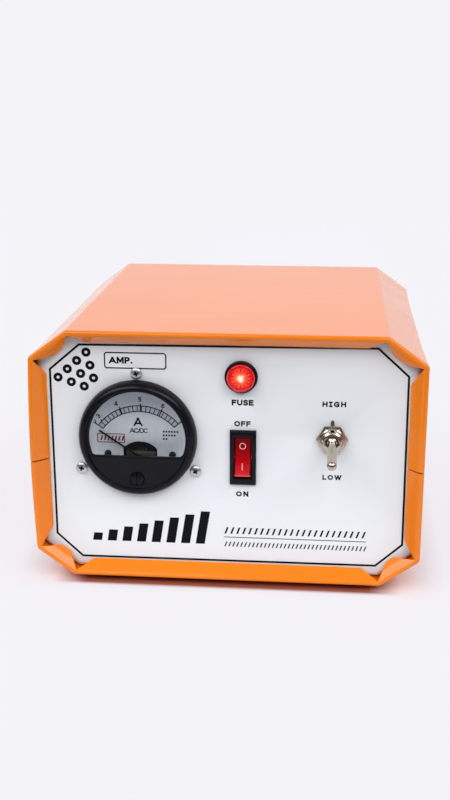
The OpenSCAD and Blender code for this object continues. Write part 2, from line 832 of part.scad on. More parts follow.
module meter_nuts() {
    color(steel) on_panel(meter_x, meter_z) at_meter_screws()
        translate([0, 0, -panel_sheet - clamp_sheet - 2.4]) difference() {
            hexagon(5.5, 2.4);
            translate([0, 0, -1]) cylinder(d = meter_screw_d + 0.02, h = 5);
        }
}

module meter_terminals() {
    color(brass) on_panel(meter_x, meter_z) for (s = [-1, 1]) translate([s * stud_x, stud_y, 0]) {
        translate([0, 0, can_back - stud_reach]) cylinder(d = stud_d - 0.05, h = stud_reach + can_wall + 4);
        translate([0, 0, floor_top]) hexagon(stud_nut_af, 2.6);
        for (z = [3.2, 7]) translate([0, 0, can_back - z]) hexagon(stud_nut_af, 3);
    }
}

// ---------------------------------------------------------------- lamp

lamp_r = lamp_d / 2;
lens_r = lens_d / 2;
lens_seat = 1;

module lamp_bezel() {
    color(black_gloss) on_panel(lamp_x, lamp_z) rotate_extrude() polygon(concat(
        [[lens_r + fit, lens_seat], [lamp_barrel_d / 2 - 1.4, lens_seat],
         [lamp_barrel_d / 2 - 1.4, 2 - lamp_barrel_l], [2, 2 - lamp_barrel_l],
         [2, -lamp_barrel_l], [lamp_barrel_d / 2, -lamp_barrel_l],
         [lamp_barrel_d / 2, 0], [lamp_r, 0]],
        rounded([lamp_r, 0], [lamp_r, lamp_rim_h], [lens_r, lamp_rim_h], 0.9),
        [[lens_r + fit, lamp_rim_h]]));
}

// Domed cap with a skirt that plugs into the barrel
module lamp_lens() {
    rise = lamp_rim_h + lens_rise;
    shoulder = lamp_rim_h + 0.55 * lens_rise;
    skirt_r = lamp_barrel_d / 2 - 1.4 - fit;
    color(lamp_red) on_panel(lamp_x, lamp_z) rotate_extrude() polygon(concat(
        [[0, shoulder], [skirt_r - 1.2, shoulder - 0.6], [skirt_r - 1.2, -4], [skirt_r, -4],
         [skirt_r, lens_seat], [lens_r, lens_seat]],
        [for (a = [0:10:80]) [lens_r * cos(a), shoulder + (rise - shoulder) * sin(a)]],
        [[0, rise]]));
}

lamp_nut_af = 17;
lamp_nut_h = 3;

module lamp_nut() {
    color(steel) on_panel(lamp_x, lamp_z) translate([0, 0, -panel_sheet - lamp_nut_h]) difference() {
        hexagon(lamp_nut_af, lamp_nut_h);
        translate([0, 0, -1]) cylinder(d = lamp_barrel_d + 0.04, h = lamp_nut_h + 2);
    }
}

module lamp_bulb() {
    bulb_r = 2.4;
    color([0.95, 0.75, 0.5, 0.5]) on_panel(lamp_x, lamp_z) {
        rotate_extrude() polygon(concat([[0, 2 - lamp_barrel_l], [bulb_r, 2 - lamp_barrel_l]],
            [for (a = [0:15:75]) [bulb_r * cos(a), -5 + bulb_r * sin(a)]], [[0, -5 + bulb_r]]));
        for (s = [-1, 1]) translate([s, -0.4, -lamp_barrel_l - 6]) cube([0.5, 0.8, 8.2]);
    }
}

// ---------------------------------------------------------------- rocker switch

switch_body_w = 12.6;
switch_body_h = 27.4;
pivot_r = 1.3;
rocker_pivot_y = 2.6;           // behind the panel's face
rocker_belly = 7.5;             // depth of the rocker's keel behind its pivot

well_w = rocker_w + 2 * rocker_gap;
well_h = rocker_h + 2 * rocker_gap;

// Section of the rocker in Y and Z, level, with a shallow V in front. At each tilt the
// pressed flat lies level with the bezel, and its end stands upright beside the well.
module rocker_section() {
    t = rocker_tilt;
    reach = rocker_h / 2;
    valley = -(switch_rim + rocker_pivot_y) / cos(t);
    tip_z = (reach + valley * sin(t)) * cos(t);
    tip = [valley - tip_z * tan(t), tip_z];
    heel = reach * [-sin(t), cos(t)];
    upper = concat(rounded([valley, 0], tip, heel, 0.7), [heel, [1, 5], [rocker_belly, 1.6]]);
    polygon(concat([[valley, 0]], upper, [for (k = [len(upper) - 1:-1:0]) [upper[k].x, -upper[k].y]]));
}

module at_rocker() {
    seated() translate([rocker_x, panel_y + rocker_pivot_y, rocker_z]) children();
}

module switch_body() {
    color(black_gloss) at_rocker() difference() {
        union() {
            // Bezel with a bevelled edge
            translate([0, -rocker_pivot_y, 0]) rotate([90, 0, 0]) {
                linear_extrude(switch_rim - 0.7) square([switch_w, switch_h], center = true);
                intersection() {
                    linear_extrude(switch_rim) square([switch_w - 0.7, switch_h - 0.7], center = true);
                    bevel_block(switch_w, switch_h, switch_rim, 0.7);
                }
            }
            translate([-switch_body_w / 2, -rocker_pivot_y, -switch_body_h / 2])
                cube([switch_body_w, switch_body_depth, switch_body_h]);
        }
        translate([-well_w / 2, -20, -well_h / 2]) cube([well_w, 20 + rocker_belly + 1, well_h]);
        rotate([0, 90, 0]) translate([0, 0, -switch_body_w / 2 + 0.4])
            cylinder(r = pivot_r + run, h = switch_body_w - 0.8);
    }
}

// Block whose front edges are cut back at 45 degrees by b
module bevel_block(w, h, top, b) {
    intersection() {
        rotate([90, 0, 90]) translate([0, 0, -w]) linear_extrude(2 * w)
            polygon([[-h / 2, -1], [h / 2, -1], [h / 2, top - b], [h / 2 - b, top],
                [-h / 2 + b, top], [-h / 2, top - b]]);
        rotate([90, 0, 0]) translate([0, 0, -h]) linear_extrude(2 * h)
            polygon([[-w / 2, -1], [w / 2, -1], [w / 2, top - b], [w / 2 - b, top],
                [-w / 2 + b, top], [-w / 2, top - b]]);
    }
}

module switch_rocker() {
    color(lamp_red) at_rocker() rotate([-rocker_tilt, 0, 0]) {
        rotate([90, 0, 90]) translate([0, 0, -rocker_w / 2]) linear_extrude(rocker_w) rocker_section();
        rotate([0, 90, 0]) translate([0, 0, -switch_body_w / 2 + 0.7])
            cylinder(r = pivot_r, h = switch_body_w - 1.4);
    }
}

module switch_terminals() {
    color(steel) at_rocker() for (z = [-8, 0, 8])
        translate([-2.4, switch_body_depth - rocker_pivot_y, z - 0.4]) difference() {
            cube([4.8, 9, 0.8]);
            translate([2.4, 6.4, -1]) cylinder(d = 1.6, h = 3);
        }
}

// ---------------------------------------------------------------- toggle switch

bushing_r = bushing_d / 2;
bushing_back = -4.6;            // behind the panel's face
socket_r = 3.85;
ball_r = 3.5;
mouth_r = 3.25;
mouth_l = 0.8;
pivot_z = bushing_rise - pivot_back;
pin_r = 0.8;
tail_l = 9;
toggle_body_w = 15;
toggle_body_h = 29;
toggle_body_depth = 17;
toggle_top = bushing_back + 2;  // the body's front, in which the bushing is staked
washer_r = 7.4;

module toggle_bushing() {
    color(nickel) on_panel(toggle_x, toggle_z) difference() {
        rotate_extrude() polygon([
            [mouth_r, bushing_rise], [bushing_r - 1.1, bushing_rise], [bushing_r, bushing_rise - 1.1],
            [bushing_r, bushing_back], [socket_r, bushing_back], [socket_r, bushing_rise - mouth_l],
            [mouth_r, bushing_rise - mouth_l]]);
        translate([0, 0, pivot_z]) rotate([0, 90, 0]) translate([0, 0, -bushing_r + 0.6])
            cylinder(r = pin_r + 0.02, h = 2 * bushing_r - 1.2);
        // Keyway
        translate([-1, bushing_r - 0.8, bushing_back - 1]) cube([2, 2, bushing_rise - bushing_back + 2]);
    }
}

module toggle_pin() {
    color(steel) on_panel(toggle_x, toggle_z) translate([0, 0, pivot_z]) rotate([0, 90, 0])
        translate([0, 0, -bushing_r + 0.7]) cylinder(r = pin_r, h = 2 * bushing_r - 1.4);
}

// Lever at LOW: it points down
module toggle_lever() {
    tip_r = lever_tip_d / 2;
    root_r = lever_root_d / 2;
    color(nickel) on_panel(toggle_x, toggle_z) translate([0, 0, pivot_z])
        rotate([toggle_swing, 0, 0]) difference() {
            union() {
                sphere(r = ball_r);
                cylinder(r1 = root_r, r2 = tip_r, h = lever_l);
                translate([0, 0, lever_l]) sphere(r = tip_r);
                translate([0, 0, -tail_l]) cylinder(r = 0.8, h = tail_l);
            }
            rotate([0, 90, 0]) translate([0, 0, -10]) cylinder(r = pin_r + run, h = 20);
        }
}

module toggle_nut() {
    base = lock_washer;
    color(nickel) on_panel(toggle_x, toggle_z) translate([0, 0, base]) difference() {
        intersection() {
            hexagon(nut_af, nut_h);
            rotate_extrude() polygon([[0, -1], [nut_af, -1],
                [nut_af * 0.58 + 1, nut_h - 1.2], [nut_af / 2 - 0.5, nut_h], [0, nut_h]]);
        }
        translate([0, 0, -1]) cylinder(r = bushing_r + 0.02, h = nut_h + 2);
    }
}

module toggle_back_nut() {
    color(nickel) on_panel(toggle_x, toggle_z) translate([0, 0, -panel_sheet - 1.4]) difference() {
        hexagon(nut_af, 1.4);
        translate([0, 0, -1]) cylinder(r = bushing_r + 0.02, h = 4);
    }
}

module toggle_lock_washer() {
    tab_w = 2;
    tab_reach = 10.6;
    color(nickel) on_panel(toggle_x, toggle_z) linear_extrude(lock_washer) difference() {
        union() {
            circle(r = washer_r);
            translate([-tab_w / 2, 0]) square([tab_w, tab_reach - tab_w / 2]);
            translate([0, tab_reach - tab_w / 2]) circle(d = tab_w);
        }
        circle(r = bushing_r + fit);
    }
}

module toggle_body() {
    cavity = 9;
    color(black_matte) on_panel(toggle_x, toggle_z) difference() {
        translate([-toggle_body_w / 2, -toggle_body_h / 2, toggle_top - toggle_body_depth])
            cube([toggle_body_w, toggle_body_h, toggle_body_depth]);
        translate([0, 0, bushing_back]) cylinder(r = bushing_r + fit, h = 20);
        translate([-socket_r, -cavity, bushing_back - 8]) cube([2 * socket_r, 2 * cavity, 8]);
        translate([0, 0, bushing_back - 8]) cylinder(r = socket_r, h = 9);
    }
}

module toggle_terminals() {
    color(brass) on_panel(toggle_x, toggle_z) for (y = [-9.5, 0, 9.5])
        translate([-3, y - 0.4, toggle_top - toggle_body_depth - 9]) difference() {
            cube([6, 0.8, 9]);
            translate([3, 2, 2.6]) rotate([90, 0, 0]) cylinder(d = 2.2, h = 4);
        }
}

// ---------------------------------------------------------------- transformer

leg_w = core_w / 3;
window_w = core_w / 6;
core_window_h = core_h - 2 * window_w;
strap_foot = 11;
core_z = sheet + 0.3;
bobbin_wall = 1.2;
bobbin_gap = 0.3;
base_bolt_d = 4;

module at_core() {
    seated() translate([core_x, core_y, core_z]) children();
}

module transformer_core() {
    color([0.42, 0.42, 0.45]) at_core() difference() {
        translate([-core_w / 2, -core_stack / 2, 0]) cube([core_w, core_stack, core_h]);
        for (s = [-1, 1]) translate([s * (leg_w + window_w) / 2 - window_w / 2, -core_stack, window_w])
            cube([window_w, 2 * core_stack, core_window_h]);
    }
}

module ring_block(w, d, h, z, wall_w, wall_d) {
    translate([-w / 2 - wall_w, -d / 2 - wall_d, z]) difference() {
        cube([w + 2 * wall_w, d + 2 * wall_d, h]);
        translate([wall_w, wall_d, -1]) cube([w, d, h + 2]);
    }
}

bob_in_w = leg_w + 2 * bobbin_gap;
bob_in_d = core_stack + 2 * bobbin_gap;
bob_w = bob_in_w + 2 * bobbin_wall;
bob_d = bob_in_d + 2 * bobbin_wall;
coil_room = window_w - bobbin_gap - bobbin_wall - bobbin_gap;
bob_z = window_w + bobbin_gap;
bob_h = core_window_h - 2 * bobbin_gap;

module transformer_bobbin() {
    color([0.92, 0.90, 0.84]) at_core() {
        ring_block(bob_in_w, bob_in_d, bob_h, bob_z, bobbin_wall, bobbin_wall);
        for (z = [bob_z, bob_z + bob_h - bobbin_wall])
            ring_block(bob_w, bob_d, bobbin_wall, z, coil_room - 0.3, coil_room + 1);
    }
}

primary_t = (coil_room - 1) * 0.5;

module primary_winding() {
    color(copper) at_core()
        ring_block(bob_w, bob_d, bob_h - 2 * bobbin_wall, bob_z + bobbin_wall, primary_t, primary_t);
}

module secondary_winding() {
    color([0.62, 0.30, 0.14]) at_core()
        ring_block(bob_w + 2 * primary_t, bob_d + 2 * primary_t, bob_h - 2 * bobbin_wall,
            bob_z + bobbin_wall, primary_t, primary_t + 1);
}

strap_w = core_stack * 0.6;

module at_strap_bolts() {
    for (s = [-1, 1]) translate([core_x + s * (core_w / 2 + strap + strap_foot / 2), core_y, 0]) children();
}

module at_sink_bolts() {
    for (y = [-1, 1]) translate([sink_x, sink_y + y * sink_l / 3, 0]) children();
}

module at_base_bolts() {
    at_strap_bolts() children();
    at_sink_bolts() children();
}

// Steel strap over the core, with a foot on each side
module transformer_strap() {
    core_top = core_z - sheet + core_h;
    color(steel) seated() difference() {
        translate([core_x, core_y + strap_w / 2, sheet]) rotate([90, 0, 0]) linear_extrude(strap_w)
            difference() {
                union() {
                    translate([-core_w / 2 - strap, 0]) square([core_w + 2 * strap, core_top + strap]);
                    translate([-core_w / 2 - strap - strap_foot, 0])
                        square([core_w + 2 * (strap + strap_foot), strap]);
                }
                translate([-core_w / 2, -1]) square([core_w, core_top + 1]);
            }
        at_base_bolts() cylinder(d = base_bolt_d + 0.4, h = 8);
    }
}

base_head_h = 2.2;

module base_bolts() {
    color(steel) seated() at_base_bolts() {
        translate([0, 0, -base_head_h]) cylinder(d = 7.6, h = base_head_h);
        cylinder(d = base_bolt_d, h = sheet + sink_foot + 6);
    }
}

module base_nuts() {
    color(steel) seated() {
        at_strap_bolts() translate([0, 0, sheet + strap]) base_nut();
        at_sink_bolts() translate([0, 0, sheet + sink_foot]) base_nut();
    }
}

module base_nut() {
    difference() {
        hexagon(7, 3.2);
        translate([0, 0, -1]) cylinder(d = base_bolt_d + 0.02, h = 6);
    }
}

// ---------------------------------------------------------------- rectifier

sink_side = 44;         // from the left side of the case to the plate's foot
sink_x = sink_side - case_w / 2;
sink_y = case_d - 78;
sink_base = 4;
sink_foot = 3;
sink_foot_w = 14;
fin_t = 2;
first_fin_z = 8;         // clear of the tray's chamfer
bridge_h = 11;

// Upright back plate with fins to the left and a foot to the right
module heat_sink() {
    wall_x = sink_x - sink_foot_w / 2 - sink_base / 2;
    color([0.60, 0.61, 0.63]) seated() difference() {
        translate([wall_x, sink_y + sink_l / 2, sheet]) rotate([90, 0, 0]) linear_extrude(sink_l) {
            translate([-sink_base / 2, 0]) square([sink_base, sink_h]);
            square([sink_base / 2 + sink_foot_w, sink_foot]);
            for (k = [0:fins - 1])
                translate([-sink_base / 2 - fin_reach,
                    first_fin_z + k * (sink_h - fin_t - first_fin_z) / (fins - 1)])
                    square([fin_reach + 0.1, fin_t]);
        }
        at_base_bolts() cylinder(d = base_bolt_d + 0.4, h = 8);
        translate([wall_x - fin_reach, sink_y, bridge_mid_z]) rotate([0, 90, 0])
            cylinder(d = bridge_screw_d, h = 2 * fin_reach);
    }
}

bridge_mid_z = sheet + sink_foot + 4 + bridge_w / 2;
bridge_face_x = sink_x - sink_foot_w / 2;
bridge_screw_d = 4;

module rectifier() {
    cut = 4;
    w = bridge_w / 2;
    color(black_matte) seated() translate([bridge_face_x, sink_y, bridge_mid_z])
        rotate([90, 0, 90]) linear_extrude(bridge_h) difference() {
            polygon([[-w, -w], [w, -w], [w, w - cut], [w - cut, w], [-w, w]]);
            circle(d = 5);
        }
}

module rectifier_screw() {
    color(steel) seated() translate([bridge_face_x + bridge_h, sink_y, bridge_mid_z])
        rotate([0, 90, 0]) pan_screw(bridge_screw_d - 0.04, bridge_h + sink_base, 7.6, 2.4);
}

module rectifier_tabs() {
    tab_place = 9;
    tab = [7, 0.8, 6.2];
    color(steel) seated() translate([bridge_face_x + bridge_h, sink_y, bridge_mid_z])
        for (y = [-1, 1]) for (z = [-1, 1])
            translate([0, y * tab_place - tab.y / 2, z * tab_place - tab.z / 2]) cube(tab);
}

// ---------------------------------------------------------------- fuse and wiring blocks

fuse_x = -44;
fuse_y = 52;
block_w = 14;
block_h = 7;

module fuse_block() {
    l = fuse_l + 12;
    axis_z = sheet + block_h + fuse_d / 2 + 1;
    color(black_matte) seated() translate([fuse_x, fuse_y, 0]) {
        translate([-block_w / 2, -l / 2, sheet]) cube([block_w, l, block_h]);
        for (s = [-1, 1]) translate([0, s * (fuse_l / 2 - 3), 0]) difference() {
            translate([-fuse_d / 2 - 1.6, -2.5, sheet + block_h - 0.5])
                cube([fuse_d + 3.2, 5, fuse_d * 0.8 + 1.5]);
            translate([0, 5, axis_z]) rotate([90, 0, 0]) cylinder(d = fuse_d + 0.05, h = 10);
        }
    }
}

module glass_fuse() {
    axis_z = sheet + block_h + fuse_d / 2 + 1;
    cap = 6;
    color([0.8, 0.85, 0.85, 0.6]) seated() translate([fuse_x, fuse_y + fuse_l / 2, axis_z])
        rotate([90, 0, 0]) {
            cylinder(d = fuse_d, h = cap);
            translate([0, 0, cap]) cylinder(d = fuse_d - 0.5, h = fuse_l - 2 * cap);
            translate([0, 0, fuse_l - cap]) cylinder(d = fuse_d, h = cap);
        }
}

strip_y = case_d - 39;
strip_w = 16;
strip_h = 12;
strip_floor = 4;        // height of the ways' floor

module terminal_strip() {
    ways = 4;
    pitch = 10;
    way_w = 7.2;
    color(black_matte) seated() translate([mains_x - 30, strip_y, sheet]) difference() {
        translate([-ways * pitch / 2 - 1, -strip_w / 2, 0]) cube([ways * pitch + 2, strip_w, strip_h]);
        for (k = [0:ways - 1]) translate([(k - (ways - 1) / 2) * pitch - way_w / 2, -strip_w, strip_floor])
            cube([way_w, 2 * strip_w, strip_h]);
    }
}

// ---------------------------------------------------------------- grommets

grommet_groove_r = 6.4;
grommet_lip = 2.2;
grommet_side = 2.4;

module grommet(bore_d) {
    r = bore_d / 2;
    out = grommet_groove_r + grommet_lip;
    t = panel_sheet + 0.1;
    rotate_extrude() polygon(concat([[r, -t / 2 - grommet_side]],
        rounded([r, -t / 2 - grommet_side], [out, -t / 2 - grommet_side], [out, -t / 2], 1.2),
        [[out, -t / 2], [grommet_groove_r, -t / 2], [grommet_groove_r, t / 2], [out, t / 2]],
        rounded([out, t / 2], [out, t / 2 + grommet_side], [r, t / 2 + grommet_side], 1.2),
        [[r, t / 2 + grommet_side]]));
}

module at_outlet(x) {
    seated() translate([x, case_d - panel_y - panel_sheet / 2, outlet_z]) rotate([90, 0, 0]) children();
}

module mains_grommet() {
    color(black_matte) at_outlet(mains_x) grommet(mains_bore_d);
}

module output_grommet() {
    color(black_matte) at_outlet(output_x) grommet(output_bore_d);
}

// ---------------------------------------------------------------- assembly

bottom_tray();
top_cover();
front_panel();
rear_panel();
case_screws();
clinch_nuts();
feet();
foot_screws();
foot_nuts();
meter_bezel();
meter_window();
meter_case();
meter_dial();
dial_screws();
meter_pointer();
meter_coil();
meter_bridge();
hairspring();
zero_adjuster();
meter_screws();
meter_clamps();
meter_nuts();
meter_terminals();
lamp_bezel();
lamp_lens();
lamp_nut();
lamp_bulb();
switch_body();
switch_rocker();
switch_terminals();
toggle_body();
toggle_bushing();
toggle_lever();
toggle_pin();
toggle_nut();
toggle_back_nut();
toggle_lock_washer();
toggle_terminals();
transformer_core();
transformer_bobbin();
primary_winding();
secondary_winding();
transformer_strap();
base_bolts();
base_nuts();
heat_sink();
rectifier();
rectifier_screw();
rectifier_tabs();
fuse_block();
glass_fuse();
terminal_strip();
mains_grommet();
output_grommet();
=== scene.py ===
"""Bench battery charger: the finishes, the printed panel and the fine forms of its pieces.

The solids come in as a fixed frame, in metres, and every piece made here is placed from
their boxes. Sizes inside a piece are in millimetres and mm() turns them into metres.
On the front panel x runs to the right, z up from the case's underside, and out stands
for the distance from the panel's face towards the user.
"""

import math

import bmesh
import bpy
from bpy.props import FloatProperty, FloatVectorProperty, IntProperty, PointerProperty
from mathutils import Matrix, Vector, noise
from mathutils.bvhtree import BVHTree


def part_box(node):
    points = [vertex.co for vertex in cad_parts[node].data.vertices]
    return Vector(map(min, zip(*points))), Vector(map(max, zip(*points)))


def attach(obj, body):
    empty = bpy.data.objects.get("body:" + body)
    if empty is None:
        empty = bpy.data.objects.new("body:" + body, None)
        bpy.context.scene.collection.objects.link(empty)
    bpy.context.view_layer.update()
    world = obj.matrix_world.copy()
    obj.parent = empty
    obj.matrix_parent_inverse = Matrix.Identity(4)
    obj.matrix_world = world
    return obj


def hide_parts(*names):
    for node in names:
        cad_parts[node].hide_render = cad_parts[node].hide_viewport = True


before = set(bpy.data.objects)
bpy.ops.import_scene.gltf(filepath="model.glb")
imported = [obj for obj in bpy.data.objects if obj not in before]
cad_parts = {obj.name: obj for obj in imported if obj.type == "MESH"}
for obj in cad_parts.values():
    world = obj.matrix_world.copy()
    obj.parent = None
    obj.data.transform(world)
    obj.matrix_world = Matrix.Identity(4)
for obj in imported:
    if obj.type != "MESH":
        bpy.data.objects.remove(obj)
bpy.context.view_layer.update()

bl_info = {
    "name": "Bench battery charger",
    "version": (1, 0, 0),
    "blender": (4, 5, 0),
    "location": "View3D > Sidebar > Charger",
    "description": "Folded case, printed panel, ammeter, lamp and switches of a battery charger",
    "category": "Add Mesh",
}

BODY = "charger"
FLUTES = 14
BACKDROP = (0.905, 0.896, 0.939, 1)
# Where the camera stands, as a point of the case in millimetres
CAMERA = (52.4, -570.3, 278.0)


# ---------------------------------------------------------------- places from the frame


def mm(*lengths):
    """Millimetres as metres."""
    return lengths[0] * 0.001 if len(lengths) == 1 else tuple(v * 0.001 for v in lengths)


TRAY_LOW, TRAY_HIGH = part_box("bottom_tray")
COVER_LOW, COVER_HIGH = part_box("top_cover")
CASE_BASE = TRAY_LOW.z
CASE_FRONT = TRAY_LOW.y
CASE_W = (COVER_HIGH.x - COVER_LOW.x) * 1000
CASE_H = (COVER_HIGH.z - CASE_BASE) * 1000
CASE_D = (TRAY_HIGH.y - CASE_FRONT) * 1000
# The seam's middle lies this far below the cover's edge
SEAM_HALF = 0.2
SEAM = (COVER_LOW.z - CASE_BASE) * 1000 - SEAM_HALF
PANEL_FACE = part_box("front_panel")[0].y


def in_case(x, y, z):
    """A point of the case: x from its middle, y from its front fold, z from its underside."""
    return Vector((mm(x), CASE_FRONT + mm(y), CASE_BASE + mm(z)))


def on_panel(x, z, out=0.0):
    """A point of the front panel's face, or in front of it."""
    return Vector((mm(x), PANEL_FACE - mm(out), CASE_BASE + mm(z)))


def middle(node):
    """Middle of a node's box, in metres."""
    low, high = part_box(node)
    return (low + high) / 2


def size_of(node):
    """A node's size along x, y and z, in millimetres."""
    low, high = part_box(node)
    return (high - low) * 1000


def panel_spot(node):
    """Where a node's middle lies on the panel, in millimetres."""
    spot = middle(node)
    return spot.x * 1000, (spot.z - CASE_BASE) * 1000


def back_and_front(node):
    """How far a node's back and its front stand out from the panel's face, in millimetres."""
    low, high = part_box(node)
    return (PANEL_FACE - high.y) * 1000, (PANEL_FACE - low.y) * 1000


METER = panel_spot("meter_bezel")
LAMP = panel_spot("lamp_bezel")
ROCKER = panel_spot("switch_body")
TOGGLE = panel_spot("toggle_bushing")


# ---------------------------------------------------------------- properties


class ChargerCaseProps(bpy.types.PropertyGroup):
    """Sizes of the folded sheet-metal case, in millimetres."""

    sheet: FloatProperty(
        name="Sheet", description="Thickness of the case's sheet", default=1.0, min=0.5, max=2)
    bend_r: FloatProperty(
        name="Bend radius", description="Outside radius of the long bends", default=3.0)
    chamfer_w: FloatProperty(
        name="Chamfer width", description="Width of a chamfered corner", default=20.0)
    chamfer_h: FloatProperty(
        name="Chamfer height", description="Height of a chamfered corner", default=15.0)
    fold_r: FloatProperty(
        name="Fold radius", description="Outside radius of the fold at the front edge", default=1.6)
    flange_l: FloatProperty(
        name="Flange", description="Reach of a flange beyond its fold", default=8.0)
    flange_angle: FloatProperty(
        name="Flange lean", description="How far a flange is folded back past square",
        subtype="ANGLE", default=math.atan2(6.4, 4.8))
    notch_run: FloatProperty(
        name="Notch", description="How far a flange's inner end stands back from a corner", default=9.8)
    pillow: FloatProperty(
        name="Pillow", description="How far the short flanges bulge from being folded by hand", default=0.6)
    waver: FloatProperty(
        name="Waver", description="How far the hand-folded flanges waver", default=0.3)
    flare: FloatProperty(
        name="Flare", description="How far the left side swells at mid height on its front edge",
        default=1.3)
    spring: FloatVectorProperty(
        name="Spring", description="How far the left and right sides stand out along the front edge",
        size=2, default=(0.5, 0.95))
    seam: FloatProperty(
        name="Seam", description="Gap between the tray and the cover", default=0.8)
    slot_w: FloatProperty(
        name="Slot width", description="Width of a vent slot in the sides", default=3.2)
    slot_l: FloatProperty(
        name="Slot length", description="Length of a vent slot in the sides", default=26.0)
    slot_pitch: FloatProperty(
        name="Slot pitch", description="Distance from slot to slot", default=8.0)
    slots: IntProperty(
        name="Slots", description="Number of vent slots in a row", default=13, min=1)


class ChargerPrintProps(bpy.types.PropertyGroup):
    """Printing on the front panel, in millimetres."""

    line: FloatProperty(
        name="Border line", description="Width of the border line", default=1.15)
    skew: FloatProperty(
        name="Skew", description="How far the print is turned on the panel",
        subtype="ANGLE", default=math.radians(0.3))
    ring_d: FloatProperty(
        name="Rings", description="Outside diameter of the printed rings", default=5.0)
    ring_hole: FloatProperty(
        name="Ring hole", description="Inside diameter of the printed rings", default=1.65)
    film: FloatProperty(
        name="Film", description="Thickness of the ink", default=0.05)


class ChargerMeterProps(bpy.types.PropertyGroup):
    """Scale of the ammeter, in millimetres and about the pointer's pivot."""

    outer_r: FloatProperty(
        name="Outer arc", description="Radius of the scale's outer line", default=28.1)
    inner_r: FloatProperty(
        name="Inner arc", description="Radius of the scale's inner line", default=24.9)
    scale_from: FloatProperty(
        name="Scale from", description="Angle of the scale's left end",
        subtype="ANGLE", default=math.radians(144))
    scale_to: FloatProperty(
        name="Scale to", description="Angle of the scale's right end",
        subtype="ANGLE", default=math.radians(41))
    boxes: IntProperty(
        name="Boxes", description="Number of boxes between the two arcs", default=20)
    line: FloatProperty(
        name="Line", description="Width of the scale's lines", default=0.46)
    lift: FloatProperty(
        name="Lift", description="How far the dial and its window stand above the pointer's frame",
        default=0.9)


class ChargerColourProps(bpy.types.PropertyGroup):
    """Colours of the charger's finishes."""

    paint: FloatVectorProperty(
        name="Case paint", description="Orange paint of the case", subtype="COLOR",
        size=3, default=(0.95, 0.232, 0.003), min=0, max=1)
    panel: FloatVectorProperty(
        name="Panel enamel", description="Pale enamel of the panels", subtype="COLOR",
        size=3, default=(0.865, 0.90, 0.91), min=0, max=1)
    ink: FloatVectorProperty(
        name="Ink", description="Printing ink", subtype="COLOR",
        size=3, default=(0.006, 0.007, 0.010), min=0, max=1)
    red: FloatVectorProperty(
        name="Red plastic", description="Red of the lamp and the rocker", subtype="COLOR",
        size=3, default=(0.62, 0.008, 0.01), min=0, max=1)


class ChargerStageProps(bpy.types.PropertyGroup):
    """Camera and light."""

    lens: FloatProperty(
        name="Lens", description="Focal length in millimetres", default=51.6)
    yaw: FloatProperty(
        name="Yaw", description="How far the camera looks to the left",
        subtype="ANGLE", default=0.09166)
    pitch: FloatProperty(
        name="Pitch", description="How far the camera looks down", subtype="ANGLE", default=0.29542)
    roll: FloatProperty(
        name="Roll", description="How far the camera is rolled", subtype="ANGLE", default=0.0011)
    boxes: FloatProperty(
        name="Softboxes", description="Strength of the two softboxes above the camera", default=4.7)
    sky: FloatProperty(
        name="Sky", description="Strength of the even light from above", default=0.5)
    dim: FloatProperty(
        name="Room", description="Strength of the light from the room in front", default=0.14)


GROUPS = {
    "charger_case": ChargerCaseProps,
    "charger_print": ChargerPrintProps,
    "charger_meter": ChargerMeterProps,
    "charger_colours": ChargerColourProps,
    "charger_stage": ChargerStageProps,
}


# ---------------------------------------------------------------- node trees


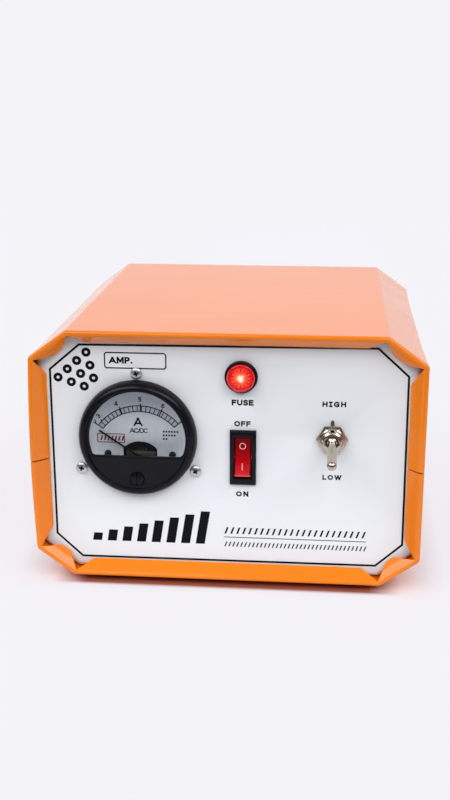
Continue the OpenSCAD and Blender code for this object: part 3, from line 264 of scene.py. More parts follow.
class Nodes:
    """Adds nodes to a tree: settings by name, inputs by name or number, links by socket."""

    def __init__(self, tree):
        self.tree = tree

    def fill(self, node, inputs):
        """Fills a node's inputs: a socket is linked, anything else is set as a value."""
        for key, value in inputs.items():
            if isinstance(value, bpy.types.NodeSocket):
                self.tree.links.new(value, node.inputs[key])
            else:
                node.inputs[key].default_value = value

    def add(self, kind, inputs=None, **settings):
        node = self.tree.nodes.new(kind)
        for key, value in settings.items():
            setattr(node, key, value)
        self.fill(node, inputs or {})
        return node

    def math(self, operation, result, *others, clamp=False):
        """Works an operation on one value, or on several from left to right."""
        for other in others or (0.0,):
            result = self.add("ShaderNodeMath", {0: result, 1: other}, operation=operation,
                              use_clamp=clamp).outputs[0]
        return result

    def times(self, *values):
        return self.math("MULTIPLY", *values)

    def spread(self, value, low, high, to_low=0.0, to_high=1.0):
        """Maps a value's range onto another, held within it."""
        return self.add("ShaderNodeMapRange", {
            "Value": value, "From Min": low, "From Max": high,
            "To Min": to_low, "To Max": to_high}).outputs[0]

    def uneven(self, value, to_low=0.0, to_high=1.0):
        """Spreads the middle of a noise's range onto another range."""
        return self.spread(value, 0.3, 0.7, to_low, to_high)

    def noise(self, place, scale, detail=2.0, stretch=None):
        if stretch:
            place = self.add("ShaderNodeMapping", {"Vector": place, "Scale": stretch}).outputs[0]
        return self.add("ShaderNodeTexNoise", {
            "Vector": place, "Scale": scale, "Detail": detail, "Roughness": 0.55}).outputs[0]

    def mix(self, share, a, b):
        """A colour between a and b."""
        return self.add("ShaderNodeMix", {0: share, 6: a, 7: b}, data_type="RGBA").outputs[2]

    def ramp(self, share, stops):
        """A colour from a row of (position, colour) stops."""
        node = self.add("ShaderNodeValToRGB", {0: share})
        elements = node.color_ramp.elements
        elements.remove(elements[1])
        for position, colour in stops:
            stop = elements.new(position) if position else elements[0]
            stop.color = rgba(colour)
        return node.outputs[0]

    def bump(self, height, strength, distance, **below):
        """Relief from a height, on top of the one below if that is given as Normal."""
        inputs = {"Height": height, "Strength": strength, "Distance": distance, **below}
        return self.add("ShaderNodeBump", inputs).outputs[0]

    def parts(self, vector):
        """The x, y and z of a vector."""
        return self.add("ShaderNodeSeparateXYZ", {0: vector}).outputs

    def about(self, place, centre):
        """Distance from a centre on the panel, and the angle about it."""
        arm = self.add("ShaderNodeVectorMath", {0: place, 1: centre}, operation="SUBTRACT")
        x, _, z = self.parts(arm.outputs[0])
        radius = self.math("SQRT", self.math("ADD", self.times(x, x), self.times(z, z)))
        return radius, self.math("ARCTAN2", z, x)

    def blend(self, share, a, b):
        """Puts a surface between two shaders on the material."""
        mixed = self.add("ShaderNodeMixShader", {0: share, 1: a.outputs[0], 2: b.outputs[0]})
        self.fill(self.tree.nodes["Material Output"], {"Surface": mixed.outputs[0]})


def rgba(colour, factor=1.0):
    return tuple(min(1.0, c * factor) for c in colour) + (1.0,)


def new_finish(name):
    """An empty material: the material, its nodes, its shader and the place on the object."""
    material = bpy.data.materials.new(name)
    material.use_nodes = True
    nodes = Nodes(material.node_tree)
    shader = material.node_tree.nodes["Principled BSDF"]
    return material, nodes, shader, nodes.add("ShaderNodeTexCoord").outputs["Object"]


def worked_finish(name, colour, roughness, metallic=0.0, mottle=0.08, mottle_scale=60.0, swing=0.08,
                  grain_scale=1500.0, grain=0.06, stretch=None, shade=0.8, shader_values=None):
    """Paint, plastic, rubber or metal: mottled colour, uneven gloss and a fine grain."""
    material, nodes, shader, place = new_finish(name)
    patches = nodes.noise(place, mottle_scale, 4.0)
    fine = nodes.noise(place, grain_scale, stretch=stretch)
    nodes.fill(shader, {
        "Base Color": nodes.mix(nodes.spread(patches, 0.35, 0.65, 0.0, mottle * 4),
                                rgba(colour), rgba(colour, shade)),
        "Roughness": nodes.math("ADD", nodes.uneven(patches, roughness - swing, roughness + swing),
                                nodes.uneven(fine, -swing / 3, swing / 3), clamp=True),
        "Normal": nodes.bump(fine, grain, 0.0002), "Metallic": metallic, **(shader_values or {})})
    return material


def case_paint(colours):
    """Glossy enamel on sheet steel: orange peel, faint clouds, wiping streaks and dust."""
    material, nodes, shader, place = new_finish("orange_paint")
    clouds = nodes.noise(place, 11.0)
    dust = nodes.noise(place, 900.0, 1.0)
    streaks = nodes.noise(place, 75.0, 3.0, stretch=(0.15, 1.5, 1.5))
    peel = nodes.noise(place, 420.0)
    base = nodes.mix(nodes.uneven(clouds, 0.0, 0.7), rgba(colours.paint), rgba(colours.paint, 0.9))
    nodes.fill(shader, {
        "Base Color": nodes.mix(nodes.spread(dust, 0.68, 0.76, 0.0, 0.25), base, (0.6, 0.12, 0.006, 1)),
        "Roughness": nodes.math("ADD", nodes.uneven(clouds, 0.10, 0.16),
                                nodes.spread(streaks, 0.35, 0.65, 0.0, 0.08)),
        "Normal": nodes.bump(peel, 0.06, 0.0003, Normal=nodes.bump(clouds, 0.10, 0.003)),
        "Specular IOR Level": 0.24, "Coat Weight": 0.4, "Coat Roughness": 0.08})
    return material


def panel_enamel(colours):
    """Pale stoved enamel with faint cloudy smears."""
    material, nodes, shader, place = new_finish("panel_enamel")
    clouds = nodes.noise(place, 16.0)
    peel = nodes.noise(place, 700.0)
    nodes.fill(shader, {
        "Base Color": nodes.mix(nodes.uneven(clouds, 0.0, 0.6), rgba(colours.panel),
                                rgba(colours.panel, 0.97)),
        "Roughness": nodes.uneven(clouds, 0.3, 0.36), "Normal": nodes.bump(peel, 0.05, 0.0002),
        "Specular IOR Level": 0.35})
    return material


def dial_face():
    """Brushed grey dial, with painted shade of the meter's rim darkening its top."""
    material, nodes, shader, place = new_finish("dial_aluminium")
    middle_z = on_panel(*METER).z
    # Painted shade: the dial's colour darkens towards its top.
    shade = nodes.spread(nodes.parts(place)[2], middle_z + mm(6), middle_z + mm(24))
    brushed = nodes.noise(place, 1400.0, stretch=(1.0, 1.0, 0.1))
    tint = nodes.mix(shade, (0.96, 0.98, 1.0, 1), (0.76, 0.80, 0.86, 1))
    nodes.fill(shader, {
        "Base Color": nodes.mix(nodes.uneven(brushed, 0.0, 0.12), tint, (0.42, 0.45, 0.5, 1)),
        "Roughness": nodes.uneven(brushed, 0.42, 0.52), "Normal": nodes.bump(brushed, 0.05, 0.0002),
        "Metallic": 0.2})
    return material


def rocker_painted_glow(colours):
    """Red plastic with a painted glow, dark above and bright below, painted shade at its sides and a painted
    highlight on its lower edges.
    """
    material, nodes, shader, place = new_finish("red_cap")
    facing = nodes.parts(nodes.add("ShaderNodeTexCoord").outputs["Normal"])
    centre = on_panel(*ROCKER).z
    grain = nodes.noise(place, 500.0, 3.0)
    # Painted glow, though no lamp is in the cap: the emission is dark at the top and bright at the foot.
    fall = nodes.spread(nodes.parts(place)[2], centre - mm(9.5), centre + mm(10), 1.0, 0.0)
    low_down = nodes.math("ADD", fall, nodes.uneven(grain, -0.06, 0.06), clamp=True)
    within = nodes.ramp(low_down, ((0.0, (0.09, 0.0, 0.001)), (0.25, (0.26, 0.001, 0.004)),
                                   (0.6, (0.50, 0.001, 0.006)), (1.0, (0.80, 0.03, 0.035))))
    # Painted shade on the faces turned to the sides, and a painted highlight on the faces along the lower
    # edges.
    sides = nodes.spread(nodes.times(facing[0], facing[0]), 0.1, 0.3)
    edge = nodes.times(nodes.spread(facing[2], -0.1, -0.3), nodes.spread(facing[2], -0.8, -0.6))
    nodes.fill(shader, {
        "Emission Color": nodes.mix(edge, nodes.mix(sides, within, (0.05, 0.0, 0.001, 1)),
                                    (0.62, 0.13, 0.13, 1)),
        "Base Color": nodes.mix(nodes.uneven(grain), rgba(colours.red, 0.10), rgba(colours.red, 0.05)),
        "Roughness": nodes.uneven(grain, 0.12, 0.2),
        "Emission Strength": 0.8, "Specular IOR Level": 0.2})
    return material


def clear_finish(name, colour, clear, roughness):
    """A clear pane or tube with faint scratches: part of the light passes straight through."""
    material, nodes, shader, place = new_finish(name)
    scratches = nodes.noise(place, 240.0, 4.0, stretch=(1.0, 1.0, 0.2))
    nodes.fill(shader, {
        "Base Color": nodes.mix(nodes.spread(scratches, 0.4, 0.7), rgba(colour), rgba(colour, 0.85)),
        "Roughness": nodes.uneven(scratches, roughness * 0.5, roughness * 1.8),
        "IOR": 1.5, "Specular IOR Level": 0.6})
    through = nodes.add("ShaderNodeBsdfTransparent", {"Color": (0.97, 0.98, 0.99, 1)})
    nodes.blend(clear, shader, through)
    return material


def lens_glow(colours):
    """Red plastic lit from behind: white in the middle, orange facets, then deep red."""
    material, nodes, shader, place = new_finish("red_lens")
    radius, turn = nodes.about(place, on_panel(LAMP[0] + 0.1, LAMP[1] + 0.5))
    ripple = nodes.noise(place, 420.0, 4.0)
    inner = nodes.times(nodes.spread(radius, mm(1.0), mm(1.8)), mm(0.35))
    outer = nodes.times(nodes.spread(radius, mm(2.8), mm(3.6)), mm(0.8))
    reach = nodes.times(nodes.math("ADD", inner, outer), nodes.spread(radius, mm(4.6), mm(5.2), 1.0, 0.0))
    facets = nodes.times(nodes.math("COSINE", nodes.times(turn, float(FLUTES))), reach, -1.0)
    wobble = nodes.uneven(ripple, mm(-0.7), mm(0.7))
    share = nodes.spread(nodes.math("ADD", radius, nodes.math("ADD", facets, wobble)), 0.0, mm(7.6))
    # Past the orange facets the ramp paints a dark ring of shade, then a pale ring of highlight near the rim.
    glow = nodes.ramp(share, (
        (0.0, (1, 0.92, 0.80)), (0.16, (1, 0.86, 0.72)), (0.24, (1, 0.36, 0.16)),
        (0.32, (0.90, 0.10, 0.03)), (0.42, (0.80, 0.045, 0.01)), (0.50, (0.95, 0.13, 0.06)),
        (0.60, (0.72, 0.02, 0.006)), (0.74, (0.62, 0.008, 0.008)), (0.80, (0.40, 0.003, 0.004)),
        (0.87, (0.55, 0.008, 0.014)), (0.93, (0.70, 0.07, 0.09)), (0.97, (0.42, 0.006, 0.014))))
    # Painted shade: faces that turn away from the front glow dim.
    facing = nodes.parts(nodes.add("ShaderNodeNewGeometry").outputs["Normal"])
    front = nodes.spread(nodes.times(facing[1], -1.0), 0.15, 0.5)
    nodes.fill(shader, {
        "Emission Color": nodes.mix(front, (0.07, 0.0, 0.002, 1), glow),
        "Base Color": nodes.mix(nodes.uneven(ripple), rgba(colours.red, 0.3), rgba(colours.red, 0.15)),
        "Roughness": nodes.uneven(ripple, 0.1, 0.18),
        "Emission Strength": 1.0, "Specular IOR Level": 0.25})
    return material


METAL = {"metallic": 1.0, "mottle": 0.06, "swing": 0.07}
# What sets each plain finish apart: its colour and gloss, its mottling and its grain
WORKED = {
    "zinc_steel": {"colour": (0.62, 0.63, 0.66), "roughness": 0.30, "grain_scale": 900.0, "grain": 0.05,
                   **METAL},
    "rubber": {"colour": (0.018, 0.018, 0.02), "roughness": 0.75, "mottle": 0.15, "grain": 0.2,
               "grain_scale": 1100.0, "shade": 1.6},
    "black_gloss": {"colour": (0.004, 0.004, 0.007), "roughness": 0.22, "mottle": 0.1,
                    "mottle_scale": 120.0, "grain": 0.03, "grain_scale": 1200.0, "shade": 1.8,
                    "shader_values": {"Specular IOR Level": 0.17}},
    "black_matte": {"colour": (0.010, 0.010, 0.013), "roughness": 0.5, "mottle": 0.12, "grain": 0.12,
                    "shade": 1.6, "shader_values": {"Specular IOR Level": 0.25}},
    "brass": {"colour": (0.72, 0.49, 0.17), "roughness": 0.28, "grain": 0.05, **METAL},
    "winding_copper": {"colour": (0.46, 0.15, 0.055), "roughness": 0.28, "metallic": 0.8,
                       "mottle": 0.2, "mottle_scale": 150.0, "grain": 0.05,
                       "shader_values": {"Coat Weight": 0.6, "Coat Roughness": 0.2}},
    "winding_tape": {"colour": (0.72, 0.55, 0.20), "roughness": 0.45, "mottle": 0.12,
                     "mottle_scale": 90.0, "grain": 0.15, "stretch": (1.0, 1.0, 0.2)},
    "nickel": {"colour": (0.56, 0.50, 0.42), "roughness": 0.12, "grain": 0.02, **METAL},
    "core_steel": {"colour": (0.13, 0.13, 0.14), "roughness": 0.42, "metallic": 0.7, "mottle": 0.2,
                   "mottle_scale": 80.0, "grain": 0.25, "grain_scale": 900.0, "stretch": (0.3, 3.0, 0.3)},
    "nylon": {"colour": (0.70, 0.68, 0.60), "roughness": 0.45, "mottle": 0.05, "grain": 0.08},
    "aluminium": {"colour": (0.60, 0.61, 0.63), "roughness": 0.34, "grain": 0.14, "grain_scale": 1000.0,
                  "stretch": (1.0, 0.05, 1.0), **METAL},
    # Painted shade: the bridge and the coil's wire are much darker than brass and copper, for the shade
    # behind the dial.
    "bridge": {"colour": (0.17, 0.145, 0.12), "roughness": 0.35, "metallic": 0.6, "mottle": 0.15},
    "coil_enamel": {"colour": (0.10, 0.045, 0.025), "roughness": 0.35, "metallic": 0.4},
    "red_ink": {"colour": (0.26, 0.02, 0.03), "roughness": 0.5, "grain": 0.05},
    # Painted glow: the rocker's pale marks give off a faint light of their own.
    "pale_ink": {"colour": (0.85, 0.33, 0.33), "roughness": 0.4, "grain": 0.05,
                 "shader_values": {"Emission Color": (0.8, 0.25, 0.25, 1), "Emission Strength": 0.3}},
    "dial_ink": {"colour": (0.004, 0.005, 0.008), "roughness": 0.6, "grain": 0.05,
                 "shader_values": {"Specular IOR Level": 0.1}},
    "dial_box": {"colour": (0.68, 0.72, 0.76), "roughness": 0.5, "grain": 0.05},
}


# The floor's painted shade under the charger, its colour darkened there, and its light around it, in metres:
# from where, to where
PAINTED_SHADE_SIDE, PAINTED_SHADE_FRONT, PAINTED_SHADE_BACK = (0.078, 0.096), (-0.0940, -0.0905), (0.104, 0.109)
LIGHT_SIDE, LIGHT_FRONT, LIGHT_NEAR, LIGHT_FAR = (0.1, 0.122), (-0.091, -0.101), (-0.2, -0.28), (0.3, 1.6)
ROOM_FRONT = (-0.285, -0.38)
FLOOR_REACH = 9.0


def studio_floor(dim):
    """Pale light table, with painted shade under the charger, that fades into the backdrop and the dim room.
    """
    material, nodes, shader, place = new_finish("floor")
    cloth = nodes.uneven(nodes.noise(place, 3.0, 3.0))
    x, y = nodes.parts(place)[:2]
    side = nodes.math("ABSOLUTE", x)
    pale = nodes.mix(cloth, (0.88, 0.877, 0.90, 1), (0.865, 0.862, 0.887, 1))
    # Painted shadow: under the charger the floor's colour turns dark red-brown.
    under = nodes.times(nodes.spread(side, *PAINTED_SHADE_SIDE, 1.0, 0.0), nodes.spread(y, *PAINTED_SHADE_FRONT),
                        nodes.spread(y, *PAINTED_SHADE_BACK, 1.0, 0.0))
    nodes.fill(shader, {"Base Color": nodes.mix(under, pale, (0.36, 0.11, 0.065, 1)),
                        "Roughness": 0.6, "Specular IOR Level": 0.2})
    backdrop = nodes.add("ShaderNodeEmission", {
        "Color": BACKDROP, "Strength": nodes.spread(y, *ROOM_FRONT, 1.0, dim)})
    beside = nodes.spread(side, *LIGHT_SIDE, 0.0, 0.82)
    ahead = nodes.spread(y, *LIGHT_FRONT, 0.0, 0.88)
    away = nodes.math("MAXIMUM", beside, ahead, nodes.spread(y, *LIGHT_FAR), nodes.spread(y, *LIGHT_NEAR))
    nodes.blend(away, shader, backdrop)
    return material


def make_finishes(colours):
    """All finishes by name. Most bear the name of their slot in the record."""
    finishes = {name: worked_finish(name, **look) for name, look in WORKED.items()}
    finishes.update({
        "orange_paint": case_paint(colours),
        "panel_enamel": panel_enamel(colours),
        "window_pane": clear_finish("window_pane", (0.02, 0.022, 0.025), 0.93, 0.06),
        "clear_glass": clear_finish("clear_glass", (0.88, 0.92, 0.92), 0.82, 0.05),
        "dial_aluminium": dial_face(),
        "red_lens": lens_glow(colours),
        "red_cap": rocker_painted_glow(colours),
        "ink": worked_finish("ink", colours.ink, 0.5, mottle=0.1, grain=0.0, shade=1.4,
                             shader_values={"Specular IOR Level": 0.05}),
    })
    return finishes


FINISH = {}
REPLACED = set()


# ---------------------------------------------------------------- meshes


def new_mesh(name, points, faces):
    mesh = bpy.data.meshes.new(name)
    mesh.from_pydata([tuple(p) for p in points], [], faces)
    return mesh


def shape_of(mesh):
    """A shape to edit, with the mesh in it."""
    shape = bmesh.new()
    shape.from_mesh(mesh)
    return shape


def mesh_of(shape, mesh=None):
    """Ends the editing of a shape, into a given mesh or a new one."""
    mesh = mesh or bpy.data.meshes.new("shape")
    shape.to_mesh(mesh)
    shape.free()
    return mesh


def tidy(mesh, merge=1e-6):
    """Merges doubles and turns the faces outwards."""
    shape = shape_of(mesh)
    bmesh.ops.remove_doubles(shape, verts=shape.verts, dist=merge)
    bmesh.ops.recalc_face_normals(shape, faces=shape.faces)
    return mesh_of(shape, mesh)


def soften(mesh, angle=35.0):
    """Smooth shading, with the edges sharper than an angle kept."""
    mesh.polygons.foreach_set("use_smooth", [True] * len(mesh.polygons))
    mesh.set_sharp_from_angle(angle=math.radians(angle))
    mesh.update()
    return mesh


def piece(name, mesh, finish, body=BODY, slot=None, replaces=()):
    """Puts a finished mesh into the scene, on its body."""
    mesh.name = name
    if not mesh.materials:
        mesh.materials.append(FINISH[finish])
    obj = draft(mesh, name)
    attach(obj, body)
    if replaces:
        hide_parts(*replaces)
        REPLACED.update(replaces)


def joined(meshes):
    """One mesh of several, which are used up."""
    shape = bmesh.new()
    for mesh in meshes:
        shape.from_mesh(mesh)
        bpy.data.meshes.remove(mesh)
    return mesh_of(shape)


def evaluated_mesh(obj):
    """The object's mesh with its modifiers, taken out of the scene."""
    deps = bpy.context.evaluated_depsgraph_get()
    mesh = bpy.data.meshes.new_from_object(obj.evaluated_get(deps))
    bpy.data.objects.remove(obj)
    return mesh


def draft(data, name="draft"):
    """Puts a mesh, a curve or a camera into the scene as an object."""
    obj = bpy.data.objects.new(name, data)
    bpy.context.scene.collection.objects.link(obj)
    return obj


def ease_edges(obj, width, angle, segments=2):
    """Adds the modifier that eases the edges sharper than an angle."""
    ease = obj.modifiers.new("ease", "BEVEL")
    ease.width, ease.segments = mm(width), segments
    ease.limit_method, ease.angle_limit = "ANGLE", math.radians(angle)


def carved(mesh, tool, operation="DIFFERENCE", crossing=False):
    """A mesh cut by another, or cut down to what lies inside it. Both are used up."""
    obj, other = draft(mesh), draft(tool)
    cut = obj.modifiers.new("cut", "BOOLEAN")
    cut.object, cut.operation, cut.solver, cut.use_self = other, operation, "EXACT", crossing
    result = evaluated_mesh(obj)
    bpy.data.objects.remove(other)
    return result


def polar(r, angle, x=0.0, y=0.0):
    """The point at a distance and an angle from another."""
    return x + r * math.cos(angle), y + r * math.sin(angle)


def circle(r, x=0.0, y=0.0, steps=96):
    return [polar(r, math.tau * k / steps, x, y) for k in range(steps)]


def eased(corners, steps=5):
    """A line of (r, h, radius) corners, each rounded to its radius."""
    points = []
    for k, (x, y, r) in enumerate(corners):
        if r <= 0 or k in (0, len(corners) - 1):
            points.append((x, y))
            continue
        here = Vector((x, y))
        before = Vector(corners[k - 1][:2]) - here
        after = Vector(corners[k + 1][:2]) - here
        half = before.angle(after) / 2
        reach = r / math.tan(half)
        start, end = here + before.normalized() * reach, here + after.normalized() * reach
        centre = here + (before.normalized() + after.normalized()).normalized() * r / math.sin(half)
        for i in range(steps + 1):
            arm = (start - centre).lerp(end - centre, i / steps)
            points.append(tuple(centre + arm.normalized() * r))
    return points


def spun(profile, steps=96, closed=False):
    """A lathed mesh about the z axis from (radius, height) points in millimetres."""
    points, faces, rows = [], [], []
    for r, h in profile:
        if r < 1e-9:
            rows.append([len(points)] * steps)
            points.append(mm(0, 0, h))
            continue
        rows.append(list(range(len(points), len(points) + steps)))
        points.extend(mm(x, y, h) for x, y in circle(r, steps=steps))
    pairs = list(zip(rows, rows[1:])) + ([(rows[-1], rows[0])] if closed else [])
    for low, high in pairs:
        for k in range(steps):
            n = (k + 1) % steps
            ring = list(dict.fromkeys((low[k], low[n], high[n], high[k])))
            if len(ring) > 2:
                faces.append(ring)
    return tidy(new_mesh("spun", points, faces))


def to_panel(mesh, x, z, out=0.0):
    """Stands a mesh that was made along z on the panel's face."""
    mesh.transform(Matrix.Translation(on_panel(x, z, out)) @ Matrix.Rotation(math.pi / 2, 4, "X"))
    return mesh


def plate(loops, thick, bevel=0.0):
    """A plate on z = 0 with an outline and holes, from (x, y) loops in millimetres."""
    curve = bpy.data.curves.new("plate", "CURVE")
    curve.dimensions, curve.fill_mode = "2D", "BOTH"
    curve.extrude, curve.bevel_depth = thick / 2 - bevel, bevel
    curve.bevel_resolution, curve.offset = 2, -bevel
    for loop in loops:
        spline = curve.splines.new("POLY")
        spline.points.add(len(loop) - 1)
        spline.use_cyclic_u = True
        for point, (x, y) in zip(spline.points, loop):
            point.co = (x, y, 0, 1)
    mesh = evaluated_mesh(draft(curve))
    bpy.data.curves.remove(curve)
    mesh.transform(Matrix.Scale(0.001, 4) @ Matrix.Translation((0, 0, thick / 2)))
    return tidy(mesh, 1e-7)


def eased_copy(node, width, angle=35.0):
    """A node's mesh with its flats made whole and its edges eased."""
    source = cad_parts[node]
    mesh = source.data.copy()
    mesh.materials.clear()
    mesh.transform(source.matrix_world)
    shape = shape_of(mesh)
    bmesh.ops.remove_doubles(shape, verts=shape.verts, dist=1e-6)
    bmesh.ops.dissolve_limit(shape, angle_limit=math.radians(0.5), verts=shape.verts, edges=shape.edges)
    obj = draft(mesh_of(shape, mesh))
    ease_edges(obj, width, angle)
    return soften(evaluated_mesh(obj), angle)


# ---------------------------------------------------------------- geometry trees


def geometry_tree(name, inputs):
    """A geometry tree with named inputs: the tree, its node adder and its input sockets."""
    tree = bpy.data.node_groups.new(name, "GeometryNodeTree")
    tree.interface.new_socket("Geometry", in_out="INPUT", socket_type="NodeSocketGeometry")
    for label, kind in inputs.items():
        tree.interface.new_socket(label, in_out="INPUT", socket_type="NodeSocket" + kind)
    tree.interface.new_socket("Finish", in_out="INPUT", socket_type="NodeSocketMaterial")
    tree.interface.new_socket("Geometry", in_out="OUTPUT", socket_type="NodeSocketGeometry")
    nodes = Nodes(tree)
    return tree, nodes, nodes.add("NodeGroupInput").outputs


def end_tree(nodes, given, geometry):
    real = nodes.add("GeometryNodeRealizeInstances", {0: geometry})
    painted = nodes.add("GeometryNodeSetMaterial",
                        {"Geometry": real.outputs[0], "Material": given["Finish"]})
    nodes.add("NodeGroupOutput", {"Geometry": painted.outputs[0]})


def grown(tree, mesh, values):
    """The mesh that a geometry tree makes of another, with its inputs set by identifier."""
    obj = draft(mesh, "draft_" + tree.name)
    modifier = obj.modifiers.new("grow", "NODES")
    modifier.node_group = tree
    for item in tree.interface.items_tree:
        if item.item_type == "SOCKET" and item.in_out == "INPUT" and item.name in values:
            modifier[item.identifier] = values[item.name]
    return evaluated_mesh(obj)


def repeat_tree():
    """Sets a copy of one part on every point, turned as the point's own turn says."""
    tree, nodes, given = geometry_tree("repeat_on_points", {"Part": "Object", "Size": "Float"})
    part = nodes.add("GeometryNodeObjectInfo", {"Object": given["Part"]})
    turn = nodes.add("GeometryNodeInputNamedAttribute", {"Name": "turn"}, data_type="FLOAT_VECTOR")
    rotation = nodes.add("FunctionNodeEulerToRotation", {0: turn.outputs[0]})
    copies = nodes.add("GeometryNodeInstanceOnPoints", {
        "Points": given["Geometry"], "Instance": part.outputs["Geometry"],
        "Rotation": rotation.outputs[0], "Scale": given["Size"]})
    end_tree(nodes, given, copies.outputs[0])
    return tree


def repeated(part, places, finish, size=1.0):
    """One mesh of a part's copies at (place, turn) pairs."""
    mesh = new_mesh("points", [p for p, _ in places], [])
    turns = mesh.attributes.new("turn", "FLOAT_VECTOR", "POINT")
    turns.data.foreach_set("vector", [c for _, turn in places for c in turn])
    pattern = draft(part, "pattern")
    tree = bpy.data.node_groups.get("repeat_on_points") or repeat_tree()
    result = grown(tree, mesh, {"Part": pattern, "Size": size, "Finish": FINISH[finish]})
    bpy.data.objects.remove(pattern)
    return result


def vent_tree():
    """Cuts rows of slots with round ends through a sheet, from side to side."""
    tree, nodes, given = geometry_tree("vent_slots", {
        "Width": "Float", "Length": "Float", "Pitch": "Float", "Slots": "Int", "Row": "Vector",
        "Reach": "Float"})
    outline = nodes.add("GeometryNodeCurvePrimitiveQuadrilateral",
                        {"Width": given["Width"], "Height": given["Length"]})
    nearly_half = 0.499
    radius = nodes.times(given["Width"], nearly_half)
    rounded = nodes.add("GeometryNodeFilletCurve",
                        {"Curve": outline.outputs[0], "Count": 8, "Radius": radius}, mode="POLY")
    face = nodes.add("GeometryNodeFillCurve", {"Curve": rounded.outputs[0]}, mode="NGONS")
    up = nodes.add("ShaderNodeCombineXYZ", {"Z": given["Reach"]})
    drawn = nodes.add("GeometryNodeExtrudeMesh", {
        "Mesh": face.outputs[0], "Offset": up.outputs[0], "Offset Scale": 2.0, "Individual": False})
    base = nodes.add("GeometryNodeFlipFaces", {0: face.outputs[0]})
    whole = nodes.add("GeometryNodeJoinGeometry")
    for socket in (drawn.outputs[0], base.outputs[0]):
        nodes.tree.links.new(socket, whole.inputs[0])
    closed = nodes.add("GeometryNodeMergeByDistance",
                       {"Geometry": whole.outputs[0], "Distance": 1e-6})
    down = nodes.add("ShaderNodeCombineXYZ", {"Z": nodes.times(given["Reach"], -1.0)})
    centred = nodes.add("GeometryNodeTransform",
                        {"Geometry": closed.outputs[0], "Translation": down.outputs[0]})
    lying = nodes.add("GeometryNodeTransform", {
        "Geometry": centred.outputs[0], "Rotation": (math.pi / 2, 0.0, math.pi / 2)})
    step = nodes.add("ShaderNodeCombineXYZ", {"Y": given["Pitch"]})
    span = nodes.times(given["Pitch"], nodes.math("SUBTRACT", given["Slots"], 1.0))
    back = nodes.add("ShaderNodeCombineXYZ", {"Y": nodes.times(span, -0.5)})
    start = nodes.add("ShaderNodeVectorMath", {0: given["Row"], 1: back.outputs[0]}, operation="ADD")
    line = nodes.add("GeometryNodeMeshLine", {
        "Count": given["Slots"], "Start Location": start.outputs[0], "Offset": step.outputs[0]})
    cutters = nodes.add("GeometryNodeInstanceOnPoints",
                        {"Points": line.outputs[0], "Instance": lying.outputs[0]})
    real = nodes.add("GeometryNodeRealizeInstances", {0: cutters.outputs[0]})
    cut = nodes.add("GeometryNodeMeshBoolean",
                    {"Mesh 1": given["Geometry"], "Mesh 2": real.outputs[0]},
                    operation="DIFFERENCE", solver="EXACT")
    end_tree(nodes, given, cut.outputs[0])
    return tree


def flute_tree():
    """Raises flutes that run out from a centre on the panel, between two radii."""
    tree, nodes, given = geometry_tree("flutes", {
        "Flutes": "Int", "Depth": "Float", "From": "Float", "To": "Float", "Centre": "Vector",
        "Front": "Float"})
    place = nodes.add("GeometryNodeInputPosition").outputs[0]
    radius, turn = nodes.about(place, given["Centre"])
    wave = nodes.math("COSINE", nodes.times(turn, given["Flutes"]))
    share = nodes.math("DIVIDE", nodes.math("SUBTRACT", radius, given["From"]),
                       nodes.math("SUBTRACT", given["To"], given["From"]), clamp=True)
    fade = nodes.math("SINE", nodes.times(share, math.pi))
    front = nodes.math("LESS_THAN", nodes.parts(place)[1], given["Front"])
    shift = nodes.add("ShaderNodeCombineXYZ", {"Y": nodes.times(wave, fade, given["Depth"], front)})
    moved = nodes.add("GeometryNodeSetPosition",
                      {"Geometry": given["Geometry"], "Offset": shift.outputs[0]})
    end_tree(nodes, given, moved.outputs[0])
    return tree


# ---------------------------------------------------------------- case


def shell_route(case, upper):
    """Corners of a shell's outline from seam to seam, counter-clockwise, in x and z."""
    w, h = CASE_W / 2, CASE_H
    cw, ch = case.chamfer_w, case.chamfer_h
    if upper:
        seam = SEAM + case.seam / 2
        return [(w, seam), (w, h - ch), (w - cw, h), (cw - w, h), (-w, h - ch), (-w, seam)]
    seam = SEAM - case.seam / 2
    return [(-w, seam), (-w, ch), (cw - w, 0), (w - cw, 0), (w, ch), (w, seam)]


class ShellStations:
    """Stations along a shell's outline: a base point, the way inwards, and the edge it is on."""

    def __init__(self, case, upper):
        corners = [Vector(p) for p in shell_route(case, upper)]
        self.stations, self.edges = [], []
        count = len(corners) - 1
        ways = [(corners[k + 1] - corners[k]).normalized() for k in range(count)]
        turns = [ways[k].angle(ways[k + 1]) for k in range(count - 1)]
        for k in range(count):
            length = (corners[k + 1] - corners[k]).length
            inward = Vector((-ways[k].y, ways[k].x))
            tangent_in = case.bend_r * math.tan(turns[k - 1] / 2) if k else 0.0
            tangent_out = case.bend_r * math.tan(turns[k] / 2) if k < count - 1 else 0.0
            first = len(self.stations)
            steps = 20 if length < 40 else 56
            for i in range(steps + 1):
                w = tangent_in + (length - tangent_in - tangent_out) * i / steps
                self.stations.append((corners[k] + ways[k] * w, inward, w))
            self.edges.append({
                "first": first, "last": len(self.stations) - 1, "start": corners[k], "way": ways[k],
                "inward": inward, "length": length, "low_notch": k > 0, "high_notch": k < count - 1})
            if k < count - 1:
                self.add_bend(case, corners[k + 1], inward, turns[k], tangent_out, ways[k])

    def add_bend(self, case, corner, inward, turn, tangent, way):
        centre = corner - way * tangent + inward * case.bend_r
        for i in range(1, 6):
            arm = Matrix.Rotation(turn * i / 6, 2) @ (-inward)
            self.stations.append((centre + arm * case.bend_r, -arm, None))


